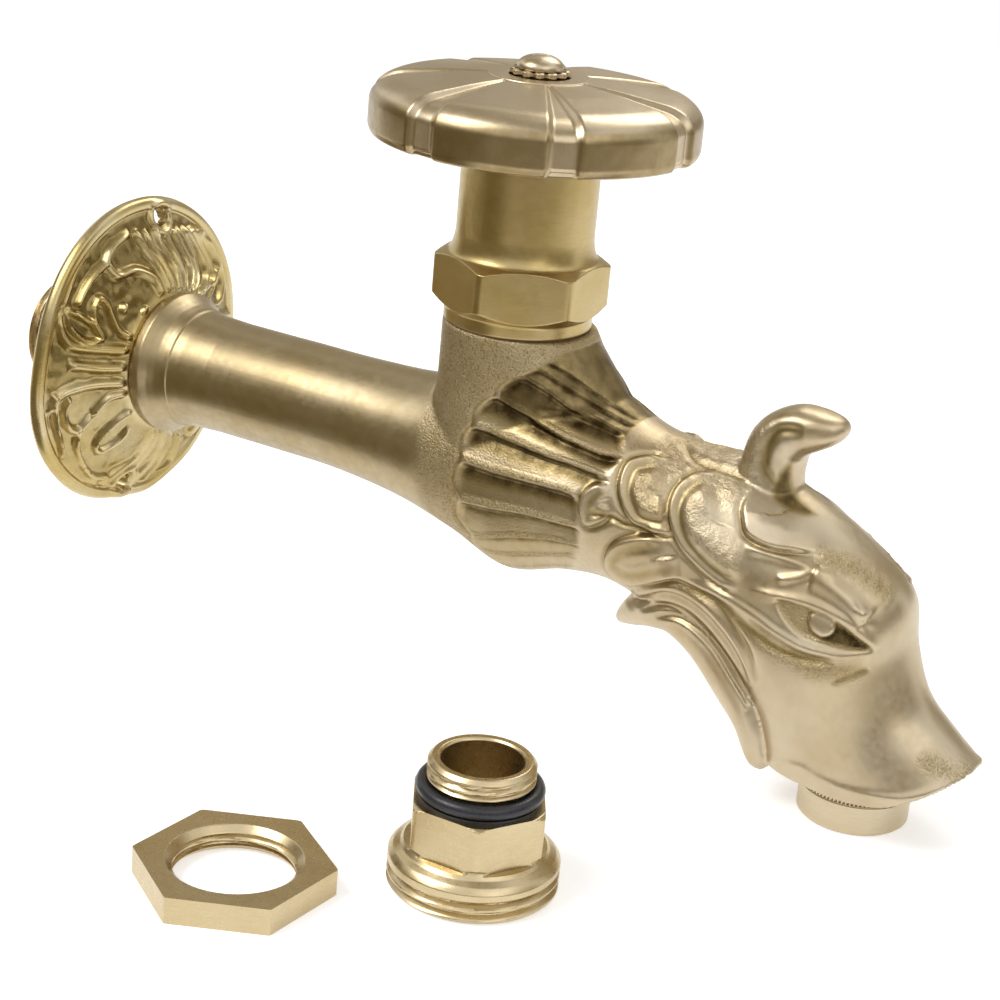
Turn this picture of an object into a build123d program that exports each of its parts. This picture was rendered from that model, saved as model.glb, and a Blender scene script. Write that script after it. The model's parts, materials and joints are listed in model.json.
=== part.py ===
"""Wall-mounted brass fountain tap with an animal-head spout, a seven-flute handwheel,
an ornamental wall rosette, and the loose hose adapter and lock nut that come with it.

Frame: the origin lies on the inlet axis in the wall plane. +X runs out of the wall
along the inlet tube, +Z runs up along the spindle axis. All sizes are millimetres.
"""
from build123d import *

import os
from math import atan2, cos, degrees, pi, sin, sqrt

# Inlet side
INLET_THREAD_R = 10.48
INLET_THREAD_LENGTH = 17.0
INLET_THREAD_END_X = 2.0
INLET_SHANK_R = 10.0
INLET_BORE_R = 7.0
CORED_BORE_R = 6.0
TUBE_R = 10.5
COLLAR_R = 13.35
COLLAR_BACK_X = 11.0
COLLAR_RIM_X = 13.3
COLLAR_END_X = 19.0

# Wall rosette
ROSETTE_R = 29.7
ROSETTE_SHEET = 1.4
ROSETTE_BEVEL = 1.5
ROSETTE_BEVEL_X = 2.4
ROSETTE_TURN = -9.5
ROSETTE_LOBES = 8
ROSETTE_LOBE_DEPTH = 0.7
ROSETTE_SCREW_INSET = 3.7
ROSETTE_SCREW_HOLE_R = 2.1
ROSETTE_FIT = 0.12

# Bonnet axis and neck
BONNET_X = 85.1
SEAM_Z = 24.6
NECK_R = 12.8
NECK_THREAD_R = 10.4
NECK_THREAD_LENGTH = 8.6
CHAMBER_R = 9.2
SEAT_Z = 8.0
SEAT_LIP = 0.6
SEAT_BORE_R = 5.0
SEAT_LIP_R = 6.6
THREAD_FIT = 0.05

# Bonnet
GASKET_T = 0.8
BONNET_COLLAR_R = 12.7
BONNET_COLLAR_H = 2.0
HEX_AF = 26.6
HEX_TURN = 3.0
HEX_TOP_Z = 36.4
BONNET_R = 11.75
BONNET_TOP_Z = 57.0
BONNET_FLARE = 3.4
BONNET_SKIRT_BORE_R = 8.2
PACKING_BORE_R = 8.0
PACKING_FLOOR_Z = 41.0
PACKING_H = 5.0

# Spindle and valve
SPINDLE_THREAD_R = 5.4
SPINDLE_PITCH = 2.0
SPINDLE_TURNS = 2.5
SPINDLE_STEM_R = 4.0
SPINDLE_THREAD_LENGTH = 17.0
NUT_THREAD_LOW_Z = 20.5
NUT_THREAD_HIGH_Z = 30.5
RUNNING_FIT = 0.06
JUMPER_PLATE_R = 7.5
JUMPER_PLATE_T = 2.2
JUMPER_STEM_R = 3.0
JUMPER_STEM_LENGTH = 10.0
JUMPER_STUD_R = 1.5
SEAT_WASHER_R = 6.9
SEAT_WASHER_T = 2.8
WASHER_NUT_AF = 5.5
WASHER_NUT_T = 2.2

# Handwheel
WHEEL_R = 27.8
WHEEL_RIM_Z = 55.4
WHEEL_TOP_Z = 66.8
WHEEL_SIDE_H = 5.6
WHEEL_SHOULDER_R = 22.0
WHEEL_SHOULDER_DROP = 1.6
WHEEL_WALL = 2.8
WHEEL_HUB_R = 7.2
WHEEL_HUB_Z = 60.0
WHEEL_DISC_R = 8.5
WHEEL_DISC_RISE = 0.25
FLUTES = 7
FLUTE_START_DEG = -49.7
FLUTE_R = 3.9
FLUTE_DEPTH = 1.4
FLUTE_HUB_R = 0.9
WHEEL_SQUARE = 5.6
SCREW_HEAD_R = 3.9
SCREW_HEAD_H = 2.4
SCREW_R = 2.0
SCREW_LENGTH = 9.0
SERRATED_R = 5.0
SERRATED_T = 1.0
SERRATED_TEETH = 12

# Spout and nozzle
NOZZLE_X = 157.7
NOZZLE_BOTTOM_Z = -44.1
NOZZLE_R = 9.3
NOZZLE_BORE_R = 7.6
NOZZLE_THREAD_LENGTH = 8.5
NOZZLE_LENGTH = 13.5
NOZZLE_PASSAGE_R = 5.0
NOZZLE_RING_T = 1.4
NOZZLE_FIT = 0.05
PASSAGE_R = 4.6

# Loose lock nut
LOCK_AF = 27.0
LOCK_T = 4.3
LOCK_BORE_R = 9.35
LOCK_CHAMFER = 1.1
LOCK_X = 93.8
LOCK_Y = -84.7
LOCK_TURN = 27.2

# Loose hose adapter
ADAPTER_X = 121.1
ADAPTER_Y = -60.9
ADAPTER_HOSE_R = 13.2
ADAPTER_HOSE_H = 5.2
ADAPTER_FLARE_H = 3.0
ADAPTER_HEX_AF = 19.8
ADAPTER_HEX_TOP = 14.8
ADAPTER_HEX_TURN = -58.0
ADAPTER_TOP_R = 8.3
ADAPTER_H = 21.2
ADAPTER_BORE_R = 6.3
ADAPTER_RING_SECTION = 2.3
ADAPTER_WASHER_T = 0.5
ADAPTER_WASHER_LIP = 1.1
ADAPTER_WASHER_GRIP = 0.6

# Cutting tools run this far past the faces that they cut through
OVER = 1.0

bonnet_base_z = SEAM_Z + GASKET_T
thread_end_z = SEAM_Z - NECK_THREAD_LENGTH
hex_corner_r = HEX_AF / sqrt(3)
washer_top_z = SEAT_Z + SEAT_WASHER_T
plate_top_z = washer_top_z + JUMPER_PLATE_T
spindle_bottom_z = plate_top_z
thread_top_z = spindle_bottom_z + SPINDLE_THREAD_LENGTH
lift = SPINDLE_PITCH * SPINDLE_TURNS
nozzle_top_z = NOZZLE_BOTTOM_Z + NOZZLE_LENGTH
floor_z = NOZZLE_BOTTOM_Z
serrated_top_z = WHEEL_TOP_Z + SERRATED_T


def upright(radius, low, high, x=0.0, y=0.0):
    """Upright cylinder between two heights."""
    return Pos(x, y, (low + high) / 2) * Cylinder(radius, high - low)


def ring(outer, inner, low, high, x=0.0, y=0.0):
    """Upright flat ring between two heights."""
    return upright(outer, low, high, x, y) - upright(inner, low - OVER, high + OVER, x, y)


def level(radius, low, high):
    """Cylinder along the inlet axis between two places."""
    return Pos((low + high) / 2, 0, 0) * Rot(0, 90, 0) * Cylinder(radius, high - low)


def turned(points, x=0.0, y=0.0):
    """Solid turned about an upright axis from (radius, height) corners."""
    outline = Polyline(*[(r, 0, z) for r, z in points], close=True)
    return Pos(x, y, 0) * revolve(make_face(outline), Axis.Z)


def hexagon(flats, low, high, turn, x=0.0, y=0.0):
    """Upright hexagonal prism; turn is the direction of one corner in degrees."""
    sketch = RegularPolygon(flats / sqrt(3), 6, rotation=turn)
    return Pos(x, y, low) * extrude(sketch, high - low)


# Side-view stations of the casting from the inlet tube to the lips: the point on the
# ridge, the point on the belly, and the half width across the casting between them.
# The first three stand close together, so that the form leaves the tube without a bulge.
STATIONS = [
    ((44.0, TUBE_R), (44.0, -TUBE_R), TUBE_R),
    ((46.0, TUBE_R), (46.0, -TUBE_R), TUBE_R),
    ((49.0, TUBE_R), (49.0, -TUBE_R), TUBE_R),
    ((56.0, 10.6), (56.0, -10.9), 10.6),
    ((68.0, 11.2), (68.0, -12.4), 11.5),
    ((80.0, 13.5), (79.5, -15.4), 13.0),
    ((91.0, 18.5), (90.0, -19.2), 13.9),
    ((103.0, 19.4), (101.0, -16.4), 14.0),
    ((113.0, 15.2), (110.0, -15.4), 13.5),
    ((122.0, 12.4), (117.5, -17.2), 13.1),
    ((133.0, 11.4), (126.5, -19.1), 13.1),
    ((144.8, 7.2), (132.3, -23.0), 13.5),
    ((154.8, 1.8), (136.8, -27.8), 13.7),
    ((161.9, -4.0), (139.9, -33.0), 13.2),
    ((163.9, -12.3), (141.2, -38.0), 12.4),
    ((167.2, -20.0), (142.8, -44.0), 12.0),
    ((173.7, -25.0), (145.2, -50.0), 12.0),
    ((183.0, -28.4), (148.4, -57.0), 12.0),
]
JOIN_X = STATIONS[0][0][0]


def station_section(station):
    """Oval cross-section through one ridge point and one belly point."""
    (ridge_x, ridge_z), (belly_x, belly_z), half_width = station
    middle = Vector((ridge_x + belly_x) / 2, 0, (ridge_z + belly_z) / 2)
    rise = Vector(ridge_x - belly_x, 0, ridge_z - belly_z)
    plane = Plane(origin=middle, x_dir=rise, z_dir=rise.cross(Vector(0, -1, 0)))
    return plane * Ellipse(rise.length / 2, half_width)


def casting_form():
    """Outside of the casting: the inlet tube swells into the neck, the shell and the head."""
    return loft([station_section(station) for station in STATIONS])


def ahead_of(station, x, z):
    """Positive where a side-view point lies in front of a station."""
    (ridge_x, ridge_z), (belly_x, belly_z), _ = station
    return (belly_x - ridge_x) * (z - ridge_z) - (belly_z - ridge_z) * (x - ridge_x)


def flank(x, z):
    """Half width of the casting at a side-view point, read between two stations."""
    for near, far in zip(STATIONS, STATIONS[1:]):
        behind, before = ahead_of(near, x, z), ahead_of(far, x, z)
        if behind >= 0 > before:
            share = behind / (behind - before)
            ends = [
                Vector(*first) + (Vector(*second) - Vector(*first)) * share
                for first, second in zip(near[:2], far[:2])
            ]
            width = near[2] + (far[2] - near[2]) * share
            middle = (ends[0] + ends[1]) / 2
            up = (Vector(x, z) - middle).length / (ends[0] - middle).length
            return width * sqrt(max(1 - up**2, 0))
    raise ValueError("the point lies outside the casting")


def on_flank(x, z, out):
    """Place on the left flank, turned to face outward and moved out by a distance."""
    slope = flank(x, z + OVER / 2) - flank(x, z - OVER / 2)
    tilt = degrees(atan2(-slope, OVER))
    return Pos(x, flank(x, z), z) * Rot(tilt, 0, 0) * Pos(0, out, 0)


def both_flanks(shape):
    """The same shape on the left and on the right flank."""
    return [shape, mirror(shape, about=Plane.XZ)]


# Lips in side view, from the tip of the beak along the mouth to the chin
LIP_TIP = (178.6, -27.4)
LIP_FRONT = (171.0, -33.9)
LIP_MIDDLE = (163.5, -36.7)
LIP_REAR = (144.4, -36.8)
LIP_CHIN = (136.0, -39.5)


def below_the_lips():
    """Everything under the lips, which the open mouth cuts away."""
    lips = Spline(LIP_TIP, LIP_FRONT, LIP_MIDDLE, LIP_REAR, LIP_CHIN)
    outline = lips + Polyline(
        LIP_CHIN,
        (LIP_CHIN[0], NOZZLE_BOTTOM_Z * 2),
        (LIP_TIP[0] + TUBE_R, NOZZLE_BOTTOM_Z * 2),
        (LIP_TIP[0] + TUBE_R, LIP_TIP[1] + TUBE_R),
        (LIP_TIP[0], LIP_TIP[1] + TUBE_R),
        LIP_TIP,
    )
    return extrude(Plane.XZ * make_face(outline), NOZZLE_X / 4, both=True)


CREST_HALF_WIDTH = 4.6
CREST_TOP_HALF_WIDTH = 2.8
CREST_SHOULDER_Z = 17.0
CREST_TOP_Z = 23.0


def crest():
    """Leaf on top of the head that curls forward and narrows to its top."""
    back = Spline((130.6, 6.0), (130.8, 13.6), (133.0, 19.6), (138.6, 22.4), (146.8, 20.2))
    front = Spline((146.8, 20.2), (143.6, 15.8), (140.4, 12.4), (142.0, 4.0))
    outline = back + front + Line((142.0, 4.0), (130.6, 6.0))
    leaf = extrude(Plane.XZ * make_face(outline), CREST_HALF_WIDTH, both=True)
    front_view = Polyline(
        (-CREST_HALF_WIDTH, 0),
        (CREST_HALF_WIDTH, 0),
        (CREST_HALF_WIDTH, CREST_SHOULDER_Z),
        (CREST_TOP_HALF_WIDTH, CREST_TOP_Z),
        (-CREST_TOP_HALF_WIDTH, CREST_TOP_Z),
        (-CREST_HALF_WIDTH, CREST_SHOULDER_Z),
        close=True,
    )
    return leaf & extrude(Plane.YZ * make_face(front_view), NOZZLE_X)


GILL_HALF_WIDTH = 6.0


def gill():
    """Beard lobe under the throat, swept back to a blunt tip."""
    lower = Spline((113.0, -18.6), (116.4, -20.8), (123.0, -19.4), (130.2, -21.6), (136.0, -26.4))
    upper = Polyline((136.0, -26.4), (136.0, -14.0), (122.0, -8.0), (113.6, -13.4), (113.0, -18.6))
    return extrude(Plane.XZ * make_face(lower + upper), GILL_HALF_WIDTH, both=True)


# Shell flutes on each flank: rear end and front end of each groove in side view
SHELL_GROOVES = [
    ((98.0, 15.6), (112.0, 12.6)),
    ((88.4, 12.0), (111.0, 8.7)),
    ((86.0, 5.8), (107.0, 4.5)),
    ((85.8, -1.3), (106.0, -0.7)),
    ((87.6, -7.7), (107.0, -5.1)),
    ((92.0, -12.6), (103.0, -9.8)),
]
SHELL_GROOVE_REAR_R = 3.8
SHELL_GROOVE_FRONT_R = 2.7
SHELL_GROOVE_DEPTH = 1.1


def beside_casting(x, z, out):
    """Point at a distance out from the flank or the round neck, whichever is wider there."""
    if z > 0 and abs(x - BONNET_X) < NECK_R:
        neck = sqrt(NECK_R**2 - (x - BONNET_X) ** 2)
        if neck > flank(x, z):
            return Vector(x, neck + out, z)
    return on_flank(x, z, out).position


def shell_groove(rear, front):
    """Round-bottomed groove along one flute of the shell, narrower towards the head."""
    start = beside_casting(*rear, SHELL_GROOVE_REAR_R - SHELL_GROOVE_DEPTH)
    end = beside_casting(*front, SHELL_GROOVE_FRONT_R - SHELL_GROOVE_DEPTH)
    run = end - start
    along = Plane(origin=start + run / 2, z_dir=run)
    taper = Cone(SHELL_GROOVE_REAR_R, SHELL_GROOVE_FRONT_R, run.length)
    return along * taper + Pos(start) * Sphere(SHELL_GROOVE_REAR_R)


EYE = (152.4, -6.9)
EYE_TURN = 14.0
EYE_HALF_LENGTH = 8.6
EYE_HALF_HEIGHT = 2.8
EYE_SOCKET_DEPTH = 1.3
EYE_BALL_R = 2.4
EYE_BALL_SUNK = 2.0
BROW = (151.4, -1.9)
BROW_TURN = 20.0
BROW_R = 3.0
BROW_LENGTH = 10.0
BROW_SUNK = 2.1


def eye_socket():
    """Almond hollow of one eye with pointed corners."""
    corner = (EYE_HALF_LENGTH, 0)
    far_corner = (-EYE_HALF_LENGTH, 0)
    lids = ThreePointArc(corner, (0, EYE_HALF_HEIGHT), far_corner)
    lids += ThreePointArc(far_corner, (0, -EYE_HALF_HEIGHT), corner)
    almond = extrude(Plane.XZ * make_face(lids), EYE_SOCKET_DEPTH, both=True)
    return on_flank(*EYE, 0) * Rot(0, EYE_TURN, 0) * almond


def eye_ball():
    """Eyeball that stands in the socket."""
    return on_flank(*EYE, -EYE_BALL_SUNK) * Sphere(EYE_BALL_R)


def brow():
    """Swollen brow above one eye, a bar with round ends."""
    bar = Rot(0, 90, 0) * Cylinder(BROW_R, BROW_LENGTH)
    ends = [Pos(place, 0, 0) * Sphere(BROW_R) for place in (BROW_LENGTH / 2, -BROW_LENGTH / 2)]
    return on_flank(*BROW, -BROW_SUNK) * Rot(0, BROW_TURN, 0) * (bar + ends)


# Overlapping scales behind the head: centre in side view, then the radius of each scale
SCALES = [
    ((120.8, 6.4), 6.0),
    ((112.4, 1.0), 3.8),
    ((119.8, -7.0), 4.4),
    ((130.6, 2.0), 5.6),
]
SCALE_RISE = 0.8
SCALE_SLANT = 1.2


def scale_pad(centre, radius):
    """Low round scale with a slanted edge on the flank between the shell and the head."""
    pad = Cone(radius + SCALE_SLANT, radius - SCALE_SLANT, 2 * SCALE_RISE + SCALE_SLANT)
    return on_flank(*centre, -SCALE_SLANT / 2) * Rot(-90, 0, 0) * pad


# Waterway from the valve chamber to the nozzle
PASSAGE_START = (BONNET_X + 4.0, 0.0, 12.2)
PASSAGE_NECK = (112.0, 0.0, 3.0)
PASSAGE_HEAD = (145.0, 0.0, -8.0)
PASSAGE_BEND_R = 9.0


def waterway():
    """Inlet bore, seat bore, valve chamber, passage to the mouth and nozzle socket."""
    entry = level(INLET_BORE_R, -INLET_THREAD_LENGTH - OVER, COLLAR_BACK_X)
    inlet = level(CORED_BORE_R, -INLET_THREAD_LENGTH - OVER, BONNET_X)
    inlet_end = Pos(BONNET_X, 0, 0) * Sphere(CORED_BORE_R)
    seat = upright(SEAT_BORE_R, 0, SEAT_Z + OVER, BONNET_X)
    chamber = upright(CHAMBER_R, SEAT_Z - SEAT_LIP, SEAM_Z, BONNET_X)
    chamber -= ring(SEAT_LIP_R, SEAT_BORE_R, SEAT_Z - SEAT_LIP - OVER, SEAT_Z, BONNET_X)
    thread = upright(NECK_THREAD_R + THREAD_FIT, thread_end_z, SEAM_Z + OVER, BONNET_X)
    mouth = (NOZZLE_X, 0.0, nozzle_top_z - OVER)
    bends = [PASSAGE_BEND_R, PASSAGE_BEND_R]
    path = FilletPolyline(PASSAGE_START, PASSAGE_NECK, PASSAGE_HEAD, mouth, radius=bends)
    section = Plane(origin=PASSAGE_START, z_dir=path % 0) * Circle(PASSAGE_R)
    passage = sweep(section, path)
    socket_top = nozzle_top_z + NOZZLE_RING_T
    socket = upright(NOZZLE_R + NOZZLE_FIT, NOZZLE_BOTTOM_Z, socket_top, NOZZLE_X)
    return [entry, inlet, inlet_end, seat, chamber, thread, passage, socket]


MOUTH_ROOF = (168.6, -36.5)
MOUTH_HALF_SIZES = (7.2, 8.2, 7.4)


def mouth_hollow():
    """Hollow under the beak in front of the nozzle."""
    return Pos(MOUTH_ROOF[0], 0, MOUTH_ROOF[1]) * scale(Sphere(1), by=MOUTH_HALF_SIZES)


def tap_body():
    """Casting: threaded inlet, collar, tube, neck, shell, animal head and waterway."""
    stub = level(INLET_THREAD_R, -INLET_THREAD_LENGTH, INLET_THREAD_END_X)
    stub = chamfer(stub.edges().group_by(Axis.X)[0], 1.0)
    stub += level(INLET_SHANK_R, INLET_THREAD_END_X, COLLAR_BACK_X)
    collar_outline = [
        (COLLAR_BACK_X, 0),
        (COLLAR_BACK_X, COLLAR_R),
        (COLLAR_RIM_X, COLLAR_R),
        (COLLAR_RIM_X + 2.6, COLLAR_R - 1.5),
        (COLLAR_END_X, TUBE_R + 0.6),
        (COLLAR_END_X, TUBE_R),
        (JOIN_X, TUBE_R),
        (JOIN_X, 0),
    ]
    collar = Polyline(*[(x, 0, r) for x, r in collar_outline], close=True)
    tube = revolve(make_face(collar), Axis.X)
    body = casting_form() - below_the_lips()
    body += stub
    body += tube
    body += upright(NECK_R, 0, SEAM_Z, BONNET_X)
    body += crest()
    body += gill()
    for rear, front in SHELL_GROOVES:
        for groove in both_flanks(shell_groove(rear, front)):
            body -= groove
    raised = [scale_pad(*pad) for pad in SCALES] + [brow()]
    for lump in raised:
        for copy in both_flanks(lump):
            body += copy
    for hollow in both_flanks(eye_socket()):
        body -= hollow
    for ball in both_flanks(eye_ball()):
        body += ball
    body -= mouth_hollow()
    for passage in waterway():
        body -= passage
    return body


def rosette_outline():
    """Rim of the rosette with shallow lobes."""
    step = 2 * pi / ROSETTE_LOBES
    valley = ROSETTE_R - ROSETTE_LOBE_DEPTH
    arcs = []
    for lobe in range(ROSETTE_LOBES):
        angles = (lobe * step, (lobe + 0.5) * step, (lobe + 1) * step)
        radii = (valley, ROSETTE_R, valley)
        places = [(r * cos(a), r * sin(a)) for a, r in zip(angles, radii)]
        arcs.append(ThreePointArc(*places))
    return make_face(Curve() + arcs)


# Raised ribs of the rosette as seen from the front: inner end, middle and outer end of
# each, across and up from the inlet axis
ROSETTE_RIBS = [
    ((4.2, 13.6), (0.2, 19.6), (-5.6, 24.4)),
    ((9.0, 11.0), (7.4, 16.6), (0.8, 22.8)),
    ((13.6, 8.4), (14.6, 13.6), (9.8, 20.2)),
    ((18.6, 5.2), (20.6, 11.0), (16.4, 18.2)),
    ((-5.6, 13.2), (-13.2, 15.8), (-18.6, 17.8)),
    ((-13.2, 4.4), (-20.6, 6.2), (-24.6, 11.0)),
    ((-13.8, -2.6), (-20.0, -2.8), (-26.0, -5.4)),
    ((-14.0, -8.4), (-19.4, -12.2), (-18.2, -19.0)),
    ((2.4, -15.0), (-4.2, -20.0), (-12.4, -22.0)),
    ((8.6, -16.0), (7.0, -21.2), (1.4, -25.4)),
    ((13.8, -9.4), (16.6, -14.4), (13.6, -21.0)),
    ((14.4, -2.4), (20.8, -4.8), (23.8, -11.0)),
]
ROSETTE_RIB_W = 2.4
ROSETTE_RIB_RISE = 1.4


def wall_rosette():
    """Dished sheet rosette with curved ribs, a lobed rim and two screw holes."""
    on_wall = Rot(ROSETTE_TURN, 0, 0) * Rot(0, 90, 0)
    hole_r = INLET_THREAD_R + ROSETTE_FIT
    bevel_r = ROSETTE_R - ROSETTE_BEVEL
    face = [
        (hole_r, COLLAR_BACK_X),
        (COLLAR_R - 0.4, COLLAR_BACK_X),
        (COLLAR_R + 2.0, COLLAR_BACK_X - 1.8),
        (COLLAR_R + 6.5, ROSETTE_BEVEL_X + 3.6),
        (bevel_r - 3.4, ROSETTE_BEVEL_X + 1.0),
        (bevel_r, ROSETTE_BEVEL_X),
    ]
    rim_r = ROSETTE_R + ROSETTE_BEVEL / 2
    dish = turned(face + [(rim_r, 0), (hole_r, 0)])
    crown = [face[1]] + [(r, z + ROSETTE_RIB_RISE) for r, z in face[2:5]] + [face[5]]
    crown = turned(crown + [(face[5][0], 0), (face[1][0], 0)])
    for rib in ROSETTE_RIBS:
        outline = Plane.YZ * SlotArc(ThreePointArc(*rib), ROSETTE_RIB_W)
        bar = extrude(outline, COLLAR_BACK_X, dir=(1, 0, 0))
        dish += (on_wall.inverse() * bar) & crown
    inner = [(r - ROSETTE_SHEET * 0.3, z - ROSETTE_SHEET) for r, z in face[1:]]
    inner_rim_r = ROSETTE_R - ROSETTE_LOBE_DEPTH - ROSETTE_SHEET
    inner += [(inner_rim_r, -OVER), (hole_r - OVER, -OVER)]
    inner.insert(0, (hole_r - OVER, COLLAR_BACK_X - ROSETTE_SHEET))
    dish -= turned(inner)
    dish &= extrude(rosette_outline(), COLLAR_BACK_X + OVER)
    for side in (1, -1):
        spot = side * (ROSETTE_R - ROSETTE_SCREW_INSET)
        dish -= Pos(spot, 0, 0) * Cylinder(ROSETTE_SCREW_HOLE_R, COLLAR_R * 2)
    return on_wall * dish


def bonnet_gasket():
    """Fibre gasket between the neck and the bonnet."""
    return ring(BONNET_COLLAR_R - 0.4, NECK_THREAD_R + 0.2, SEAM_Z, bonnet_base_z, BONNET_X)


def bonnet():
    """Turned hexagonal bonnet that carries the spindle thread and the packing box."""
    collar_top = bonnet_base_z + BONNET_COLLAR_H
    corner = hex_corner_r + OVER
    flare_top = HEX_TOP_Z + BONNET_FLARE
    outside = [
        (0, thread_end_z),
        (NECK_THREAD_R - 0.8, thread_end_z),
        (NECK_THREAD_R, thread_end_z + 0.8),
        (NECK_THREAD_R, bonnet_base_z),
        (BONNET_COLLAR_R, bonnet_base_z),
        (BONNET_COLLAR_R, collar_top),
        (corner, collar_top + (corner - BONNET_COLLAR_R)),
        (corner, HEX_TOP_Z - (corner - HEX_AF / 2) * 0.8),
        (HEX_AF / 2, HEX_TOP_Z),
        (BONNET_R + BONNET_FLARE * 0.12, HEX_TOP_Z + BONNET_FLARE * 0.42),
        (BONNET_R, flare_top),
        (BONNET_R, BONNET_TOP_Z - 0.6),
        (BONNET_R - 0.6, BONNET_TOP_Z),
        (0, BONNET_TOP_Z),
    ]
    body = turned(outside, BONNET_X)
    keep = hexagon(HEX_AF, bonnet_base_z, HEX_TOP_Z, HEX_TURN - 90, BONNET_X)
    keep += upright(hex_corner_r, thread_end_z - OVER, collar_top - 0.2, BONNET_X)
    keep += upright(BONNET_R + BONNET_FLARE, HEX_TOP_Z - 0.01, BONNET_TOP_Z + OVER, BONNET_X)
    body &= keep
    body -= upright(BONNET_SKIRT_BORE_R, thread_end_z - OVER, NUT_THREAD_LOW_Z, BONNET_X)
    body -= upright(SPINDLE_THREAD_R + RUNNING_FIT, thread_end_z, PACKING_FLOOR_Z - 2.5, BONNET_X)
    cavity = SPINDLE_THREAD_R + 0.6
    body -= upright(cavity, NUT_THREAD_HIGH_Z, PACKING_FLOOR_Z - 2.5, BONNET_X)
    body -= upright(SPINDLE_STEM_R + RUNNING_FIT, thread_end_z, BONNET_TOP_Z + OVER, BONNET_X)
    body -= upright(PACKING_BORE_R, PACKING_FLOOR_Z, BONNET_TOP_Z + OVER, BONNET_X)
    return body


def packing_rings():
    """Three packing rings round the spindle, each a separate ring."""
    count = 3
    pitch = PACKING_H / count
    rings = []
    for place in range(count):
        low = PACKING_FLOOR_Z + place * pitch
        rings.append(ring(
            PACKING_BORE_R - THREAD_FIT,
            SPINDLE_STEM_R + RUNNING_FIT,
            low,
            low + pitch - 0.04,
            BONNET_X))
    return rings


GLAND_NUT_AF = 14.0
GLAND_NUT_HEAD_H = 1.6
GLAND_RING_T = 1.5


def gland_ring():
    """Brass follower that presses the packing."""
    low = PACKING_FLOOR_Z + PACKING_H
    return ring(
        PACKING_BORE_R - THREAD_FIT,
        SPINDLE_STEM_R + RUNNING_FIT,
        low,
        low + GLAND_RING_T,
        BONNET_X)


def gland_nut():
    """Gland nut screwed into the top of the bonnet over the packing."""
    low = PACKING_FLOOR_Z + PACKING_H + GLAND_RING_T
    nut = upright(PACKING_BORE_R - THREAD_FIT, low, BONNET_TOP_Z, BONNET_X)
    nut += hexagon(GLAND_NUT_AF, BONNET_TOP_Z, BONNET_TOP_Z + GLAND_NUT_HEAD_H, 0, BONNET_X)
    return nut - upright(SPINDLE_STEM_R + RUNNING_FIT, low - OVER, WHEEL_TOP_Z, BONNET_X)


def spindle():
    """Rising spindle: thread, stem, square for the handwheel and socket for the jumper."""
    square_top = WHEEL_TOP_Z - 0.5
    body = upright(SPINDLE_THREAD_R, spindle_bottom_z, thread_top_z, BONNET_X)
    body = chamfer(body.edges().group_by(Axis.Z)[-1], 0.8)
    body += upright(SPINDLE_STEM_R, thread_top_z, WHEEL_HUB_Z, BONNET_X)
    square_h = square_top - WHEEL_HUB_Z
    square = Box(WHEEL_SQUARE, WHEEL_SQUARE, square_h)
    square &= Cylinder(SPINDLE_STEM_R - 0.2, square_h)
    body += Pos(BONNET_X, 0, WHEEL_HUB_Z + square_h / 2) * square
    socket_top = spindle_bottom_z + JUMPER_STEM_LENGTH + 0.5
    body -= upright(JUMPER_STEM_R + RUNNING_FIT, spindle_bottom_z - OVER, socket_top, BONNET_X)
    screw_low = serrated_top_z - SCREW_LENGTH - 0.6
    body -= upright(SCREW_R + 0.02, screw_low, WHEEL_TOP_Z, BONNET_X)
    return body


def jumper_valve():
    """Loose jumper: plate, stem that turns in the spindle and stud for the seat washer."""
    stem_top = plate_top_z + JUMPER_STEM_LENGTH
    stud_low = SEAT_Z - WASHER_NUT_T - 0.6
    body = upright(JUMPER_PLATE_R, washer_top_z, plate_top_z - 0.02, BONNET_X)
    body += upright(JUMPER_STEM_R, washer_top_z, stem_top, BONNET_X)
    return body + upright(JUMPER_STUD_R, stud_low, washer_top_z, BONNET_X)


def seat_washer():
    """Rubber washer that closes on the seat."""
    hole = JUMPER_STUD_R + 0.02
    return ring(SEAT_WASHER_R, hole, SEAT_Z + 0.02, washer_top_z, BONNET_X)


def washer_nut():
    """Small nut that holds the rubber washer on the jumper."""
    low = SEAT_Z - WASHER_NUT_T
    nut = hexagon(WASHER_NUT_AF, low, SEAT_Z, 0, BONNET_X)
    return nut - upright(JUMPER_STUD_R + 0.02, low - OVER, SEAT_Z + OVER, BONNET_X)


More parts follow.
